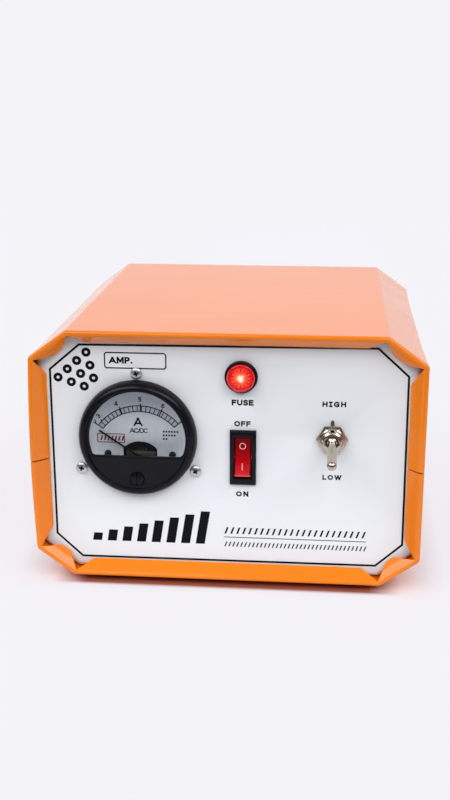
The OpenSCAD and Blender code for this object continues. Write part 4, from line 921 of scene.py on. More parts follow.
def flange_lift(case, edge, w, s):
    """How far a hand-folded flange stands out of its plane, at w along it and s up it."""
    share = s / case.flange_l
    place = edge["start"] + edge["way"] * w
    waver = noise.noise(Vector((place.x * 0.045, place.y * 0.045, s * 0.12 + edge["length"])))
    lift = case.waver * waver * share
    if edge["length"] < 40:
        across = 2 * w / edge["length"] - 1
        lift += case.pillow * math.sin(math.pi * min(1.0, share * 0.95)) * (1 - 0.75 * across**2)
        lift -= 0.25 * case.pillow * share**2
    return lift


def flange_ends(case, edge, s):
    """Where a flange starts and stops along its edge, at s up it: cut back to its notches."""
    low, high = 0.0, edge["length"]
    share = s / case.flange_l
    corner = 1.3
    over = max(0.0, s - (case.flange_l - corner)) / corner
    rounding = corner * (1 - math.sqrt(max(0.0, 1 - over * over)))
    first, last = edge["first_w"], edge["last_w"]
    back = (case.notch_run - first) * share + 0.25 * math.sin(math.pi * share)
    if edge["low_notch"]:
        low = first + back + rounding
    if edge["high_notch"]:
        high = last - back - rounding
    return low, high


def flare_at(case, x, y, z):
    """How far a side is sprung outwards at a point near the front edge, with its sign."""
    low, high = case.chamfer_h, CASE_H - case.chamfer_h
    fade = 18
    height = math.sin(math.pi * min(1.0, max(0.0, (z - low) / (high - low))))
    side = min(1.0, max(0.0, (case.chamfer_w - CASE_W / 2 + abs(x)) / case.chamfer_w))
    reach = case.spring[0] + case.flare * height if x < 0 else case.spring[1]
    return math.copysign(reach * side * math.exp(-(y / fade) ** 2), x)


def half_shell(case, upper):
    """Outer face of a shell's front half: its wall, its fold and its flanges."""
    route = ShellStations(case, upper)
    points, faces = [], []

    def add_row(stations, place):
        row = list(range(len(points), len(points) + len(stations)))
        points.extend(place(*station) for station in stations)
        return row

    def shown(base, inward, inset, y, hold=0.0):
        spot = base + inward * inset
        return in_case(spot.x + flare_at(case, spot.x, y, spot.y) * (1 - hold), y, spot.y)

    def band(low, high):
        faces.extend((low[k], low[k + 1], high[k + 1], high[k]) for k in range(len(low) - 1))

    r = case.fold_r
    rows = []
    for y in (CASE_D / 2, CASE_D * 0.36, CASE_D * 0.2, 12.0, 4.0, r):
        rows.append(add_row(route.stations, lambda b, n, _w, y=y: shown(b, n, 0.0, y)))
    turn = math.pi / 2 + case.flange_angle
    for i in range(1, 11):
        a = turn * i / 10
        inset, y = r - r * math.cos(a), r - r * math.sin(a)
        rows.append(add_row(route.stations, lambda b, n, _w, i=inset, y=y: shown(b, n, i, y)))
    for low, high in zip(rows, rows[1:]):
        band(low, high)

    lean = (math.cos(case.flange_angle), math.sin(case.flange_angle))
    root = (r - r * math.cos(turn), r - r * math.sin(turn))
    for edge in route.edges:
        span = range(edge["first"], edge["last"] + 1)
        ws = [route.stations[k][2] for k in span]
        edge["first_w"], edge["last_w"] = ws[0], ws[-1]
        below = [rows[-1][k] for k in span]
        for j in range(1, 13):
            s = case.flange_l * math.sin(math.pi / 2 * j / 12)
            low, high = flange_ends(case, edge, s)
            row = []
            for w in ws:
                share = (w - ws[0]) / (ws[-1] - ws[0])
                along = low + (high - low) * share
                lift = flange_lift(case, edge, along, s)
                inset = root[0] + lean[0] * s + lean[1] * lift
                y = root[1] + lean[1] * s - lean[0] * lift
                row.append(len(points))
                base = edge["start"] + edge["way"] * along
                points.append(shown(base, edge["inward"], inset, y, s / case.flange_l))
            band(below, row)
            below = row
    return new_mesh("half_shell", points, faces)


def whole_shell(case, upper):
    """Both halves of a shell with its thickness and eased edges."""
    shape = shape_of(half_shell(case, upper))
    mid_y = CASE_FRONT + mm(CASE_D / 2)
    copy = bmesh.ops.duplicate(shape, geom=shape.verts[:] + shape.edges[:] + shape.faces[:])["geom"]
    for part in copy:
        if isinstance(part, bmesh.types.BMVert):
            part.co.y = 2 * mid_y - part.co.y
    bmesh.ops.reverse_faces(shape, faces=[g for g in copy if isinstance(g, bmesh.types.BMFace)])
    bmesh.ops.remove_doubles(shape, verts=shape.verts, dist=1e-6)
    obj = draft(mesh_of(shape))
    thick = obj.modifiers.new("sheet", "SOLIDIFY")
    thick.thickness, thick.offset = mm(case.sheet), -1
    ease_edges(obj, 0.2, 60)
    return tidy(evaluated_mesh(obj))


LAP_H, LAP_SHEET, LAP_INSET, LAP_EASE = 16.0, 0.8, 22.0, 0.2


def lap_strips(case):
    """Strips behind the seam, one on each side."""
    shape = bmesh.new()
    size = Vector(mm(LAP_SHEET, CASE_D - 2 * LAP_INSET, LAP_H))
    for side in (-1, 1):
        centre = in_case(side * (CASE_W / 2 - case.sheet - LAP_SHEET / 2), CASE_D / 2, SEAM)
        stand = Matrix.Translation(centre) @ Matrix.Diagonal(size).to_4x4()
        bmesh.ops.create_cube(shape, size=1.0, matrix=stand)
    bmesh.ops.bevel(shape, geom=shape.edges[:], offset=mm(LAP_EASE), segments=2, profile=0.5,
                    affect="EDGES")
    return mesh_of(shape)


class ChargerCaseShells(bpy.types.Operator):
    """Folds the tray and the cover from sheet and cuts their vents"""

    bl_idname = "charger.case_shells"
    bl_label = "Case shells"

    def execute(self, context):
        case = context.scene.charger_case
        tree = vent_tree()
        upper_row = (CASE_H - case.chamfer_h + SEAM + LAP_H / 2) / 2
        lower_row = (case.chamfer_h + SEAM - LAP_H / 2) / 2
        for upper, name, node, row in ((True, "cover_shell", "top_cover", upper_row),
                                       (False, "tray_shell", "bottom_tray", lower_row)):
            mesh = grown(tree, whole_shell(case, upper), {
                "Width": mm(case.slot_w), "Length": mm(case.slot_l), "Pitch": mm(case.slot_pitch),
                "Slots": case.slots, "Row": tuple(in_case(0, CASE_D / 2, row)),
                "Reach": mm(CASE_W * 0.6), "Finish": FINISH["orange_paint"]})
            if not upper:
                mesh = joined([mesh, lap_strips(case)])
                mesh.materials.clear()
            piece(name, soften(mesh, 32), "orange_paint", slot="orange_paint", replaces=(node,))
        return {"FINISHED"}


# ---------------------------------------------------------------- stage


class ChargerStage(bpy.types.Operator):
    """Sets the floor, the light and the camera"""

    bl_idname = "charger.stage"
    bl_label = "Stage"

    def execute(self, context):
        scene, props = context.scene, context.scene.charger_stage
        scene.view_settings.view_transform = "Standard"
        self.camera(scene, props)
        self.light(scene, props)
        self.floor(props)
        return {"FINISHED"}

    def camera(self, scene, props):
        data = bpy.data.cameras.new("camera")
        data.lens, data.sensor_width = props.lens, 36.0
        data.clip_start, data.clip_end = 0.01, 50
        camera = draft(data, "camera")
        camera.location = in_case(*CAMERA)
        ahead = Vector((math.sin(-props.yaw) * math.cos(props.pitch),
                        math.cos(props.yaw) * math.cos(props.pitch), -math.sin(props.pitch)))
        turn = ahead.to_track_quat("-Z", "Y").to_matrix() @ Matrix.Rotation(-props.roll, 3, "Z")
        camera.rotation_euler = turn.to_euler()
        scene.camera = camera

    def light(self, scene, props):
        """Two softboxes above the camera, a lit backdrop behind and a dim room in front."""
        world = bpy.data.worlds.new("studio")
        world.use_nodes = True
        nodes = Nodes(world.node_tree)
        x, y, z = nodes.parts(nodes.add("ShaderNodeTexCoord").outputs["Generated"])
        sky = nodes.spread(z, 0.25, 0.45, props.dim, props.sky)
        glow = nodes.math("MINIMUM", nodes.spread(z, 0.2, 0.28, 1.0, 1.25),
                          nodes.spread(z, 0.36, 0.65, 1.25, 0.55))
        behind = nodes.times(nodes.spread(y, 0.0, 0.5), glow)
        boxes = nodes.times(nodes.spread(z, 0.46, 0.58, 0.0, props.boxes),
                            nodes.spread(z, 0.78, 0.88, 1.0, 0.0), nodes.spread(y, -0.1, -0.25),
                            nodes.spread(nodes.math("ABSOLUTE", x), 0.05, 0.11))
        nodes.fill(world.node_tree.nodes["Background"], {
            "Color": BACKDROP, "Strength": nodes.math("MAXIMUM", sky, behind, boxes)})
        scene.world = world

    def floor(self, props):
        """A floor that reaches far in front of the charger and far behind it."""
        steps = (-FLOOR_REACH, ROOM_FRONT[1], *LIGHT_FAR, FLOOR_REACH)
        points = [(x, y, 0.0) for y in steps for x in (-FLOOR_REACH, FLOOR_REACH)]
        faces = [(2 * k, 2 * k + 1, 2 * k + 3, 2 * k + 2) for k in range(len(steps) - 1)]
        mesh = new_mesh("floor", points, faces)
        mesh.materials.append(studio_floor(props.dim))
        draft(mesh, "floor")


# ---------------------------------------------------------------- finishes of the solids


def slot_of(obj):
    """The name of a solid's finish."""
    return obj.material_slots[0].material.name.split(".")[0]


class ChargerFinishes(bpy.types.Operator):
    """Makes the finishes and puts them on the solids"""

    bl_idname = "charger.finishes"
    bl_label = "Finishes"

    def execute(self, context):
        FINISH.update(make_finishes(context.scene.charger_colours))
        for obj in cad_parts.values():
            obj.material_slots[0].material = FINISH[slot_of(obj)]
        return {"FINISHED"}


# ---------------------------------------------------------------- flat printing


class Print:
    """Collects flat shapes in x and z, and lays them as a film of ink on a plane."""

    def __init__(self):
        self.points, self.faces = [], []

    def polygon(self, outline):
        first = len(self.points)
        self.points.extend(outline)
        self.faces.append(tuple(range(first, len(self.points))))

    def ribbon(self, line, width, closed=False):
        """A line of even width with mitred corners."""
        count = len(line)
        spots = [Vector(p) for p in line]
        first = len(self.points)
        for k, spot in enumerate(spots):
            before = spots[(k - 1) % count] if closed or k else None
            after = spots[(k + 1) % count] if closed or k < count - 1 else None
            ways = [(spot - before).normalized()] if before is not None else []
            ways += [(after - spot).normalized()] if after is not None else []
            normals = [Vector((-w.y, w.x)) for w in ways]
            side = sum(normals, Vector((0, 0))).normalized()
            reach = width / 2 / max(0.3, side.dot(normals[0]))
            self.points.extend((tuple(spot + side * reach), tuple(spot - side * reach)))
        for k in range(count if closed else count - 1):
            a, b = first + 2 * k, first + 2 * ((k + 1) % count)
            self.faces.append((a, b, b + 1, a + 1))

    def ring(self, spot, outer, inner):
        self.ribbon(circle((outer + inner) / 4, *spot, 28), (outer - inner) / 2, closed=True)

    def arc(self, centre, r, start, end, width, steps=48):
        line = [polar(r, start + (end - start) * k / steps, *centre) for k in range(steps + 1)]
        self.ribbon(line, width)

    def bar(self, low, high):
        self.polygon([low, (high[0], low[1]), high, (low[0], high[1])])

    def film(self, place, thick):
        """The collected shapes as thin closed solids, through place(x, z, out)."""
        shape = bmesh.new()
        verts = [shape.verts.new(place(x, z, 0.0)) for x, z in self.points]
        for face in self.faces:
            shape.faces.new([verts[k] for k in face])
        raised = bmesh.ops.extrude_face_region(shape, geom=shape.faces[:])
        shift = place(*self.points[0], thick) - place(*self.points[0], 0.0)
        bmesh.ops.translate(shape, vec=shift,
                            verts=[g for g in raised["geom"] if isinstance(g, bmesh.types.BMVert)])
        bmesh.ops.recalc_face_normals(shape, faces=shape.faces[:])
        return mesh_of(shape)

    def stroke(self, line, width, closed=False):
        """A pen stroke with square ends. A slanted one is cut level at its ends."""
        if len(line) > 2:
            if not closed:
                line = [self.beyond(line[1], line[0], width / 2), *line[1:-1],
                        self.beyond(line[-2], line[-1], width / 2)]
            self.ribbon(line, width, closed)
            return
        (x0, z0), (x1, z1) = sorted(line, key=lambda p: p[1])
        half = width / 2
        if abs(x0 - x1) < 1e-9 or abs(z0 - z1) < 1e-9:
            self.bar((min(x0, x1) - half, z0 - half), (max(x0, x1) + half, z1 + half))
            return
        rise = (z1 - z0) / math.hypot(x1 - x0, z1 - z0)
        lean, side = (x1 - x0) / (z1 - z0) * half, half / rise
        self.polygon([(x0 - lean - side, z0 - half), (x0 - lean + side, z0 - half),
                      (x1 + lean + side, z1 + half), (x1 + lean - side, z1 + half)])

    @staticmethod
    def beyond(a, b, reach):
        """The point past b, seen from a."""
        a, b = Vector(a), Vector(b)
        return tuple(b + (b - a).normalized() * reach)

    def word(self, text, spot, height, width=None, weight=0.2, turn=0.0):
        """Lettering about a spot. Its letters are spaced out to the width, if one is given."""
        letters = [LETTERS[c] for c in text]
        body = sum(w + weight for w, _ in letters)
        gap = (width / height - body) / max(1, len(text) - 1) if width else 0.16
        pen = weight / 2 - (body + gap * (len(text) - 1)) / 2
        first = len(self.points)
        for w, strokes in letters:
            for line in strokes:
                closed = len(line) > 2 and line[0] == line[-1]
                line = [(pen + x, weight / 2 + z * (1 - weight) - 0.5) for x, z in line]
                self.stroke(line[:-1] if closed else line, weight, closed)
            pen += w + weight + gap
        c, s = math.cos(turn) * height, math.sin(turn) * height
        self.points[first:] = [(spot[0] + x * c - z * s, spot[1] + x * s + z * c)
                               for x, z in self.points[first:]]


def bow(x, z, rx, rz, start, end, steps=16):
    """Points along an arc of an ellipse, between two angles in degrees. A whole one is closed."""
    whole = abs(end - start) == 360
    steps = 28 if whole else steps
    angles = (math.radians(start + (end - start) * k / steps) for k in range(steps + 1))
    points = [(x + rx * math.cos(a), z + rz * math.sin(a)) for a in angles]
    return [*points[:-1], points[0]] if whole else points


# A letter's width in cap heights, and the middle lines of its strokes; heights run from 0 to 1
LETTERS = {
    "A": (0.82, [[(0, 0), (0.41, 1)], [(0.82, 0), (0.41, 1)], [(0.2, 0.27), (0.62, 0.27)]]),
    "C": (0.70, [bow(0.40, 0.5, 0.40, 0.5, 52, 308)]),
    "D": (0.72, [[(0, 0), (0, 1)], [(0, 0), *bow(0.3, 0.5, 0.42, 0.5, -90, 90), (0, 1)]]),
    "E": (0.54, [[(0, 0), (0, 1)], [(0, 1), (0.52, 1)], [(0, 0.52), (0.48, 0.52)], [(0, 0), (0.54, 0)]]),
    "F": (0.52, [[(0, 0), (0, 1)], [(0, 1), (0.52, 1)], [(0, 0.5), (0.46, 0.5)]]),
    "G": (0.76, [bow(0.42, 0.5, 0.42, 0.5, 48, 310), [(0.72, 0.14), (0.72, 0.44)],
                 [(0.46, 0.44), (0.72, 0.44)]]),
    "H": (0.64, [[(0, 0), (0, 1)], [(0.64, 0), (0.64, 1)], [(0, 0.52), (0.64, 0.52)]]),
    "I": (0.36, [[(0.18, 0), (0.18, 1)], [(0, 0), (0.36, 0)], [(0, 1), (0.36, 1)]]),
    "L": (0.50, [[(0, 0), (0, 1)], [(0, 0), (0.5, 0)]]),
    "M": (0.80, [[(0, 0), (0, 1)], [(0.8, 0), (0.8, 1)], [(0.03, 1), (0.4, 0.25)],
                 [(0.77, 1), (0.4, 0.25)]]),
    "N": (0.64, [[(0, 0), (0, 1)], [(0.64, 0), (0.64, 1)], [(0.05, 1), (0.59, 0)]]),
    "O": (0.80, [bow(0.40, 0.5, 0.40, 0.5, 0, 360)]),
    "P": (0.56, [[(0, 0), (0, 1)], [(0, 1), *bow(0.28, 0.72, 0.28, 0.28, 90, -90), (0, 0.44)]]),
    "S": (0.58, [[*bow(0.29, 0.75, 0.27, 0.25, 28, 262), *bow(0.29, 0.25, 0.29, 0.25, 82, -152)]]),
    "U": (0.64, [[(0, 1), *bow(0.32, 0.36, 0.32, 0.36, 180, 360), (0.64, 1)]]),
    "W": (1.10, [[(0, 1), (0.28, 0)], [(0.55, 1), (0.28, 0)], [(0.55, 1), (0.82, 0)],
                 [(1.1, 1), (0.82, 0)]]),
    ".": (0.02, [[(0.01, 0), (0.01, 0.02)]]),
    "/": (0.34, [[(0, 0), (0.34, 1)]]),
    "0": (0.52, [bow(0.26, 0.5, 0.26, 0.5, 0, 360)]),
    "3": (0.50, [[*bow(0.23, 0.75, 0.23, 0.25, 140, -80), *bow(0.24, 0.25, 0.26, 0.25, 80, -140)]]),
    "4": (0.56, [[(0.40, 0), (0.40, 1)], [(0.38, 1), (0, 0.28)], [(0, 0.28), (0.56, 0.28)]]),
    "5": (0.50, [[(0.46, 1), (0.08, 1)], [(0.08, 1), (0.04, 0.52)], bow(0.23, 0.31, 0.26, 0.31, 128, -138)]),
    "6": (0.52, [bow(0.26, 0.29, 0.26, 0.29, 0, 360), bow(0.50, 0.30, 0.50, 0.72, 178, 108)]),
}


def rounded_box(low, high, r, steps=5):
    """Outline of a box with round corners."""
    points = []
    for x, z, start in ((high[0] - r, high[1] - r, 0), (low[0] + r, high[1] - r, 90),
                        (low[0] + r, low[1] + r, 180), (high[0] - r, low[1] + r, 270)):
        points += [polar(r, math.radians(start + 90 * k / steps), x, z) for k in range(steps + 1)]
    return points


def slanted_bar(x, low, high, width, lean):
    """Outline of a bar whose top stands further right than its foot."""
    return [(x, low), (x + width, low), (x + width + lean, high), (x + lean, high)]


# Corners of the border line, and the first ring and the number of rings in each slanted row
BORDER = [(-94.5, 116.0), (-94.5, 21.5), (-80.5, 8.3), (81.5, 8.7),
          (95.6, 21.6), (95.1, 116.3), (78.9, 131.0), (-78.3, 129.8)]
RING_ROWS = (((-74.65, 125.7), 4), ((-72.75, 118.6), 3), ((-71.05, 111.6), 2))
RING_STEP = Vector((-5.2, -4.7))
# Each legend's words, its middle, the height of its capitals and its width
LEGENDS = (("AMP.", (-56.2, 121.7), 3.6, 12.6), ("OFF", (8.5, 88.2), 3.0, 8.8),
           ("ON", (8.5, 48.2), 3.0, 6.7), ("FUSE", (8.6, 100.0), 3.2, 11.6),
           ("HIGH", (56.9, 100.3), 3.0, 12.4), ("LOW", (56.7, 59.35), 2.8, 10.2))
LEGEND_BOX = ((-64.8, 117.4), (-32.1, 125.8))


class ChargerPanelPrint(bpy.types.Operator):
    """Prints the border, the legends and the plain motifs on the front panel"""

    bl_idname = "charger.panel_print"
    bl_label = "Panel print"

    def execute(self, context):
        props = context.scene.charger_print
        art = Print()
        art.ribbon(BORDER, props.line, closed=True)
        for first, count in RING_ROWS:
            for k in range(count):
                art.ring(Vector(first) + RING_STEP * k, props.ring_d, props.ring_hole)
        art.ribbon(rounded_box(*LEGEND_BOX, 1.3), 0.7, closed=True)
        for legend in LEGENDS:
            art.word(*legend, weight=0.26, turn=props.skew)
        self.gauge(art)
        self.hatching(art)
        piece("panel_print", art.film(on_panel, props.film), "ink")
        return {"FINISHED"}

    def gauge(self, art):
        """A row of rising bars on the left, like a level gauge."""
        left, base, pitch, width, bars = -74.5, 18.0, 8.2, 5.0, 8
        first_height, rise, slant = 4.5, 2.1, 0.16
        for k in range(bars):
            height = first_height + rise * k
            art.polygon(slanted_bar(left + pitch * k, base, base + height, width, slant * height))

    def hatching(self, art):
        """Two bands of slanted strokes on the right, with a rule between them."""
        art.bar((-1.5, 22.35), (76.1, 22.75))
        left, slant = -1.2, 0.35
        for count, low, high, pitch, width in ((24, 24.6, 28.4, 3.25, 1.0), (36, 17.0, 19.8, 2.17, 0.7)):
            for k in range(count):
                art.polygon(slanted_bar(left + pitch * k, low, high, width, slant * (high - low)))


# ---------------------------------------------------------------- ammeter


def window_loop(lift):
    """Arched window with a level sill and rounded lower corners, about the meter's middle."""
    r, rise, sill, c = 26.3, 0.8, -9.8 + lift, 3.0
    low = c + sill - rise
    x = math.sqrt((r - c) ** 2 - low ** 2)
    dip = math.degrees(math.asin(low / (r - c)))
    return [*bow(0, rise, r, r, dip, 180 - dip, 72), *bow(-x, c + sill, c, c, 180 - dip, 270, 12),
            *bow(x, c + sill, c, c, 270, 360 + dip, 12)]


def dial_loop(lift):
    """The dial's outline: round above, straight below, with a half-moon cut for the movement."""
    r, chord, half, moon, moon_z = 26.1, -17.0, 9.3, 12.5, -17.8 + lift
    dip = math.degrees(math.asin(chord / r))
    side = math.degrees(math.acos(half / moon))
    return [*bow(0, 0, r, r, dip, 180 - dip, 96), (-half, chord),
            *bow(0, moon_z, moon, moon, 180 - side, side, 24), (half, chord)]


# Each number of the scale, its place about the meter's middle and its turn in degrees
DIAL_NUMBERS = (("0", (-25.0, 5.7), 50), ("3", (-22.6, 8.6), 42), ("4", (-12.7, 15.9), 10),
                ("5", (0.4, 18.6), 0), ("6", (13.0, 15.3), -16))
# The scale's long strokes: an angle in degrees, and the reach past the outer arc
DIAL_STROKES = ((144, 2.6), (112, 1.3), (88.7, 1.4), (64.7, 1.4), (41, 2.6))


class ChargerMeter(bpy.types.Operator):
    """Moulds the ammeter's bezel, prints its dial and winds its coil"""

    bl_idname = "charger.meter"
    bl_label = "Ammeter"

    def execute(self, context):
        props = context.scene.charger_meter
        self.bezel(props.lift)
        self.dial(props)
        self.movement()
        return {"FINISHED"}

    def bezel(self, lift):
        """A rounded rim, and a face let into it that holds the window and the adjuster."""
        bore, inner, crest, outer, rim_w, high = 27.3, 28.1, 28.3, 32.2, 3.9, 6.2
        seat, face, face_edge = 3.8, 1.6, 0.4
        adjuster_r, adjuster_z = 3.75, -21.7
        arch = [(crest + rim_w * math.cos(a), high * math.sin(a))
                for a in (math.pi / 2 * k / 24 for k in range(1, 24))]
        lip = eased([(crest, high, 0), (bore + 0.4, high - 0.1, 0.3), (bore, 5.35, 0), (bore, seat, 0),
                     (inner, seat, 0)])
        rim = spun([(inner, 0), (outer, 0), (outer, 0.25), *arch, *lip], 144, closed=True)
        plate_in_rim = plate([circle(bore + 0.3), window_loop(lift),
                              circle(adjuster_r, y=adjuster_z, steps=48)], face, face_edge)
        plate_in_rim.transform(Matrix.Translation((0, 0, mm(seat))))
        piece("meter_rim", to_panel(soften(joined([rim, plate_in_rim]), 40), *METER), "black_gloss",
              slot="black_gloss", replaces=("meter_bezel",))
        # Painted reflection: a thin pale ring in the dial's finish lines the rim's inside from the dial up to
        # the window, where the inner wall mirrors the dial.
        reflection_r, reflection_wall, low, top = 26.0, 0.15, -6.3, 2.3
        painted_reflection_ring = spun([(reflection_r, low), (reflection_r + reflection_wall, low), (reflection_r + reflection_wall, top),
                      (reflection_r, top)], 120, closed=True)
        piece("meter_liner", to_panel(soften(painted_reflection_ring), *METER), "dial_aluminium")
        piece("adjuster_screw", eased_copy("zero_adjuster", 0.3), "black_gloss", "zero_adjuster",
              slot="black_gloss", replaces=("zero_adjuster",))

    def dial(self, props):
        """The dial's plate, and its scale, its words and its plain marks in three inks."""
        plate_thick = 0.5
        face = back_and_front("meter_dial")[1]
        dial = to_panel(soften(plate([dial_loop(props.lift)], plate_thick, 0.05)), *METER,
                        face - plate_thick)
        piece("dial_plate", dial, "dial_aluminium", slot="dial_aluminium", replaces=("meter_dial",))

        def on_dial(x, z, out=0.0):
            return on_panel(METER[0] + x, METER[1] + props.lift + z, face + out)

        boxes, ink, red = Print(), Print(), Print()
        self.scale(props, boxes, ink)
        for text, spot, turn in DIAL_NUMBERS:
            ink.word(text, spot, 2.7, weight=0.19, turn=math.radians(turn))
        ink.word("A", (-0.85, 5.9), 4.8, weight=0.19)
        ink.word("AC/DC", (-0.6, 0.9), 2.7, 10.0, weight=0.18)
        self.marks(ink, red)
        for name, art, finish, thick in (("dial_boxes", boxes, "dial_box", 0.03),
                                         ("dial_print", ink, "dial_ink", 0.06),
                                         ("dial_red_print", red, "red_ink", 0.06)):
            piece(name, art.film(on_dial, thick), finish)

    def marks(self, ink, red):
        """A red box of slanted strokes on the left, and three short dashed rules on the right."""
        red.ribbon(rounded_box((-23.4, -6.2), (-8.6, -1.4), 0.3), 0.5, closed=True)
        strokes, pitch, left = 7, 1.95, -21.9
        for k in range(strokes):
            red.polygon(slanted_bar(left + pitch * k, -5.2, -2.4, 0.9, 0.7))
        dash, gap, left, top, fall = 1.0, 0.5, 12.6, 1.2, 2.1
        for k, dashes in enumerate((6, 5, 2)):
            for j in range(dashes):
                x, high = left + (dash + gap) * j, top - fall * k
                ink.bar((x, high - dash), (x + dash, high))

    def scale(self, props, boxes, ink):
        """Two arcs with boxes between them, and the long strokes of the numbers."""
        pivot, inner, outer = (0.0, -13.1), props.inner_r, props.outer_r
        boxes.arc(pivot, (inner + outer) / 2, props.scale_from, props.scale_to, outer - inner)
        for r in (inner, outer):
            ink.arc(pivot, r, props.scale_from, props.scale_to, props.line * 1.2)
        span = props.scale_to - props.scale_from
        strokes = [(props.scale_from + span * k / props.boxes, inner, outer, props.line)
                   for k in range(props.boxes + 1)]
        strokes += [(math.radians(angle), inner, outer + reach, props.line * 1.3)
                    for angle, reach in DIAL_STROKES]
        strokes.append((math.radians(137.5), outer, outer + 1.0, props.line * 1.3))
        for angle, start, end, width in strokes:
            ink.ribbon([polar(start, angle, *pivot), polar(end, angle, *pivot)], width)

    def movement(self):
        """The coil on its former, with the bridge and the pointer; the wire and the bridge carry painted
        shade behind the dial.
        """
        x, z = panel_spot("meter_coil")
        back, front = back_and_front("meter_coil")
        r, core, bore, hub, cheek = size_of("meter_coil").x / 2, 7.6, 1.2, 5, 2
        wire, pitch = 0.32, 0.66
        former = [(bore, back), (r, back), (r, back + 1.2), (core, back + 1.5), (core, front - 1.5),
                  (r, front - 1.2), (r, front), (hub, front), (hub, back + cheek), (bore, back + cheek)]
        mesh = to_panel(soften(spun(former, 64, closed=True), 40), x, z)
        piece("coil_former", mesh, "black_matte", slot="black_matte", replaces=("meter_coil",))
        wires = [spun(circle(wire, core, back + cheek + pitch * k, 6), 48, closed=True)
                 for k in range(int((front - back - 2 * cheek) / pitch))]
        piece("coil_wire", to_panel(soften(joined(wires), 60), x, z), "coil_enamel",
              slot="winding_copper")
        piece("pointer_blade", self.pointer(x, z), "dial_ink", "meter_pointer",
              slot="black_matte", replaces=("meter_pointer",))
        piece("bridge_bar", eased_copy("meter_bridge", 0.15), "bridge", slot="brass",
              replaces=("meter_bridge",))

    @staticmethod
    def pointer(x, z):
        """The pointer with its blade made twice as broad: the added dark width is the blade's painted shadow
        on the dial.
        """
        mesh = eased_copy("meter_pointer", 0.04)
        pivot, hub, growth = on_panel(x, z), mm(2), 1.05
        flat = [Vector((v.co.x - pivot.x, 0, v.co.z - pivot.z)) for v in mesh.vertices]
        along = max(flat, key=lambda arm: arm.length).normalized()
        for v, arm in zip(mesh.vertices, flat):
            reach = arm.dot(along)
            if reach > hub:
                v.co += (arm - along * reach) * growth
        return mesh


# ---------------------------------------------------------------- screws


def pan_head(head_d, head_h, shank_d, shank_l, cross):
    """A pan-head screw with a cross recess, seated on z = 0 with its head upwards."""
    r, side = head_d / 2, 0.45 * head_h
    dome = [(r * math.cos(a), side + (head_h - side) * math.sin(a))
            for a in (math.pi / 2 * k / 10 for k in range(10))]
    body = spun([(0, -shank_l), (shank_d / 2, -shank_l), (shank_d / 2, 0), (r - 0.25, 0), (r, 0.3),
                 *dome, (0, head_h)], 48)
    width, deep = 0.24 * cross, 0.62 * head_h
    shape = bmesh.new()
    for turn in (0, math.pi / 2):
        block = bmesh.ops.create_cube(shape, size=1.0)["verts"]
        for v in block:
            long, wide = (0.55, 1.0) if v.co.z < 0 else (1.25, 1.5)
            v.co = Vector(mm(v.co.x * cross * long, v.co.y * width * wide, head_h + deep * v.co.z * 2))
        bmesh.ops.rotate(shape, verts=block, cent=(0, 0, 0), matrix=Matrix.Rotation(turn, 3, "Z"))
    return soften(carved(body, mesh_of(shape), crossing=True), 30)


def cross_painted_shade(head_h, cross):
    """Painted shade: a dark cross that lies low in a screw's recess."""
    long, short, thick = 0.44 * cross, 0.13 * cross, 0.3
    outline = []
    for c, s in ((1, 0), (0, 1), (-1, 0), (0, -1)):
        outline += [(x * c - y * s, x * s + y * c) for x, y in ((long, short), (short, short), (short, long))]
    mesh = plate([outline], thick)
    mesh.transform(Matrix.Translation((0, 0, mm(0.6 * head_h))))
    return mesh


def turn_to(way, twist):
    """The turn that stands a screw along a direction, twisted about itself."""
    stand = Vector(way).to_track_quat("Z", "Y").to_matrix()
    return (stand @ Matrix.Rotation(math.radians(twist), 3, "Z")).to_euler()


class ChargerScrews(bpy.types.Operator):
    """Drives the cross-headed screws of the meter and the case"""

    bl_idname = "charger.screws"
    bl_label = "Screws"

    def execute(self, context):
        ring_r, side_inset, side_heights = 36.0, 22.24, (33.0, 95.0)
        around = [(on_panel(*polar(ring_r, math.radians(angle), *METER)), turn_to((0, -1, 0), twist))
                  for angle, twist in ((90, 20), (210, -15), (330, 38))]
        self.drive("meter_screw", around, head_d=6.2, head_h=2.2, shank_d=3, shank_l=11, cross=3.4)
        corners = [(y, z) for y in (side_inset, CASE_D - side_inset) for z in side_heights]
        sides = [(in_case(side * CASE_W / 2, y, z), turn_to((side, 0, 0), 37 * k))
                 for side in (-1, 1) for k, (y, z) in enumerate(corners)]
        self.drive("case_screw", sides, head_d=7.6, head_h=1.9, shank_d=4, shank_l=8, cross=4.2)
        return {"FINISHED"}

    def drive(self, name, places, head_h, cross, **sizes):
        """Sets screws of one kind at (place, turn) pairs, with painted shade in their recesses."""
        mesh = repeated(pan_head(head_h=head_h, cross=cross, **sizes), places, "zinc_steel")
        # Painted shade: a dark cross in the ink finish lies in each recess.
        recess_shade = repeated(cross_painted_shade(head_h, cross), places, "ink")
        piece(name + "_recesses", recess_shade, "ink")
        piece(name + "s_cross", soften(mesh, 30), "zinc_steel", slot="zinc_steel",
              replaces=(name + "s",))


# ---------------------------------------------------------------- lamp and switches


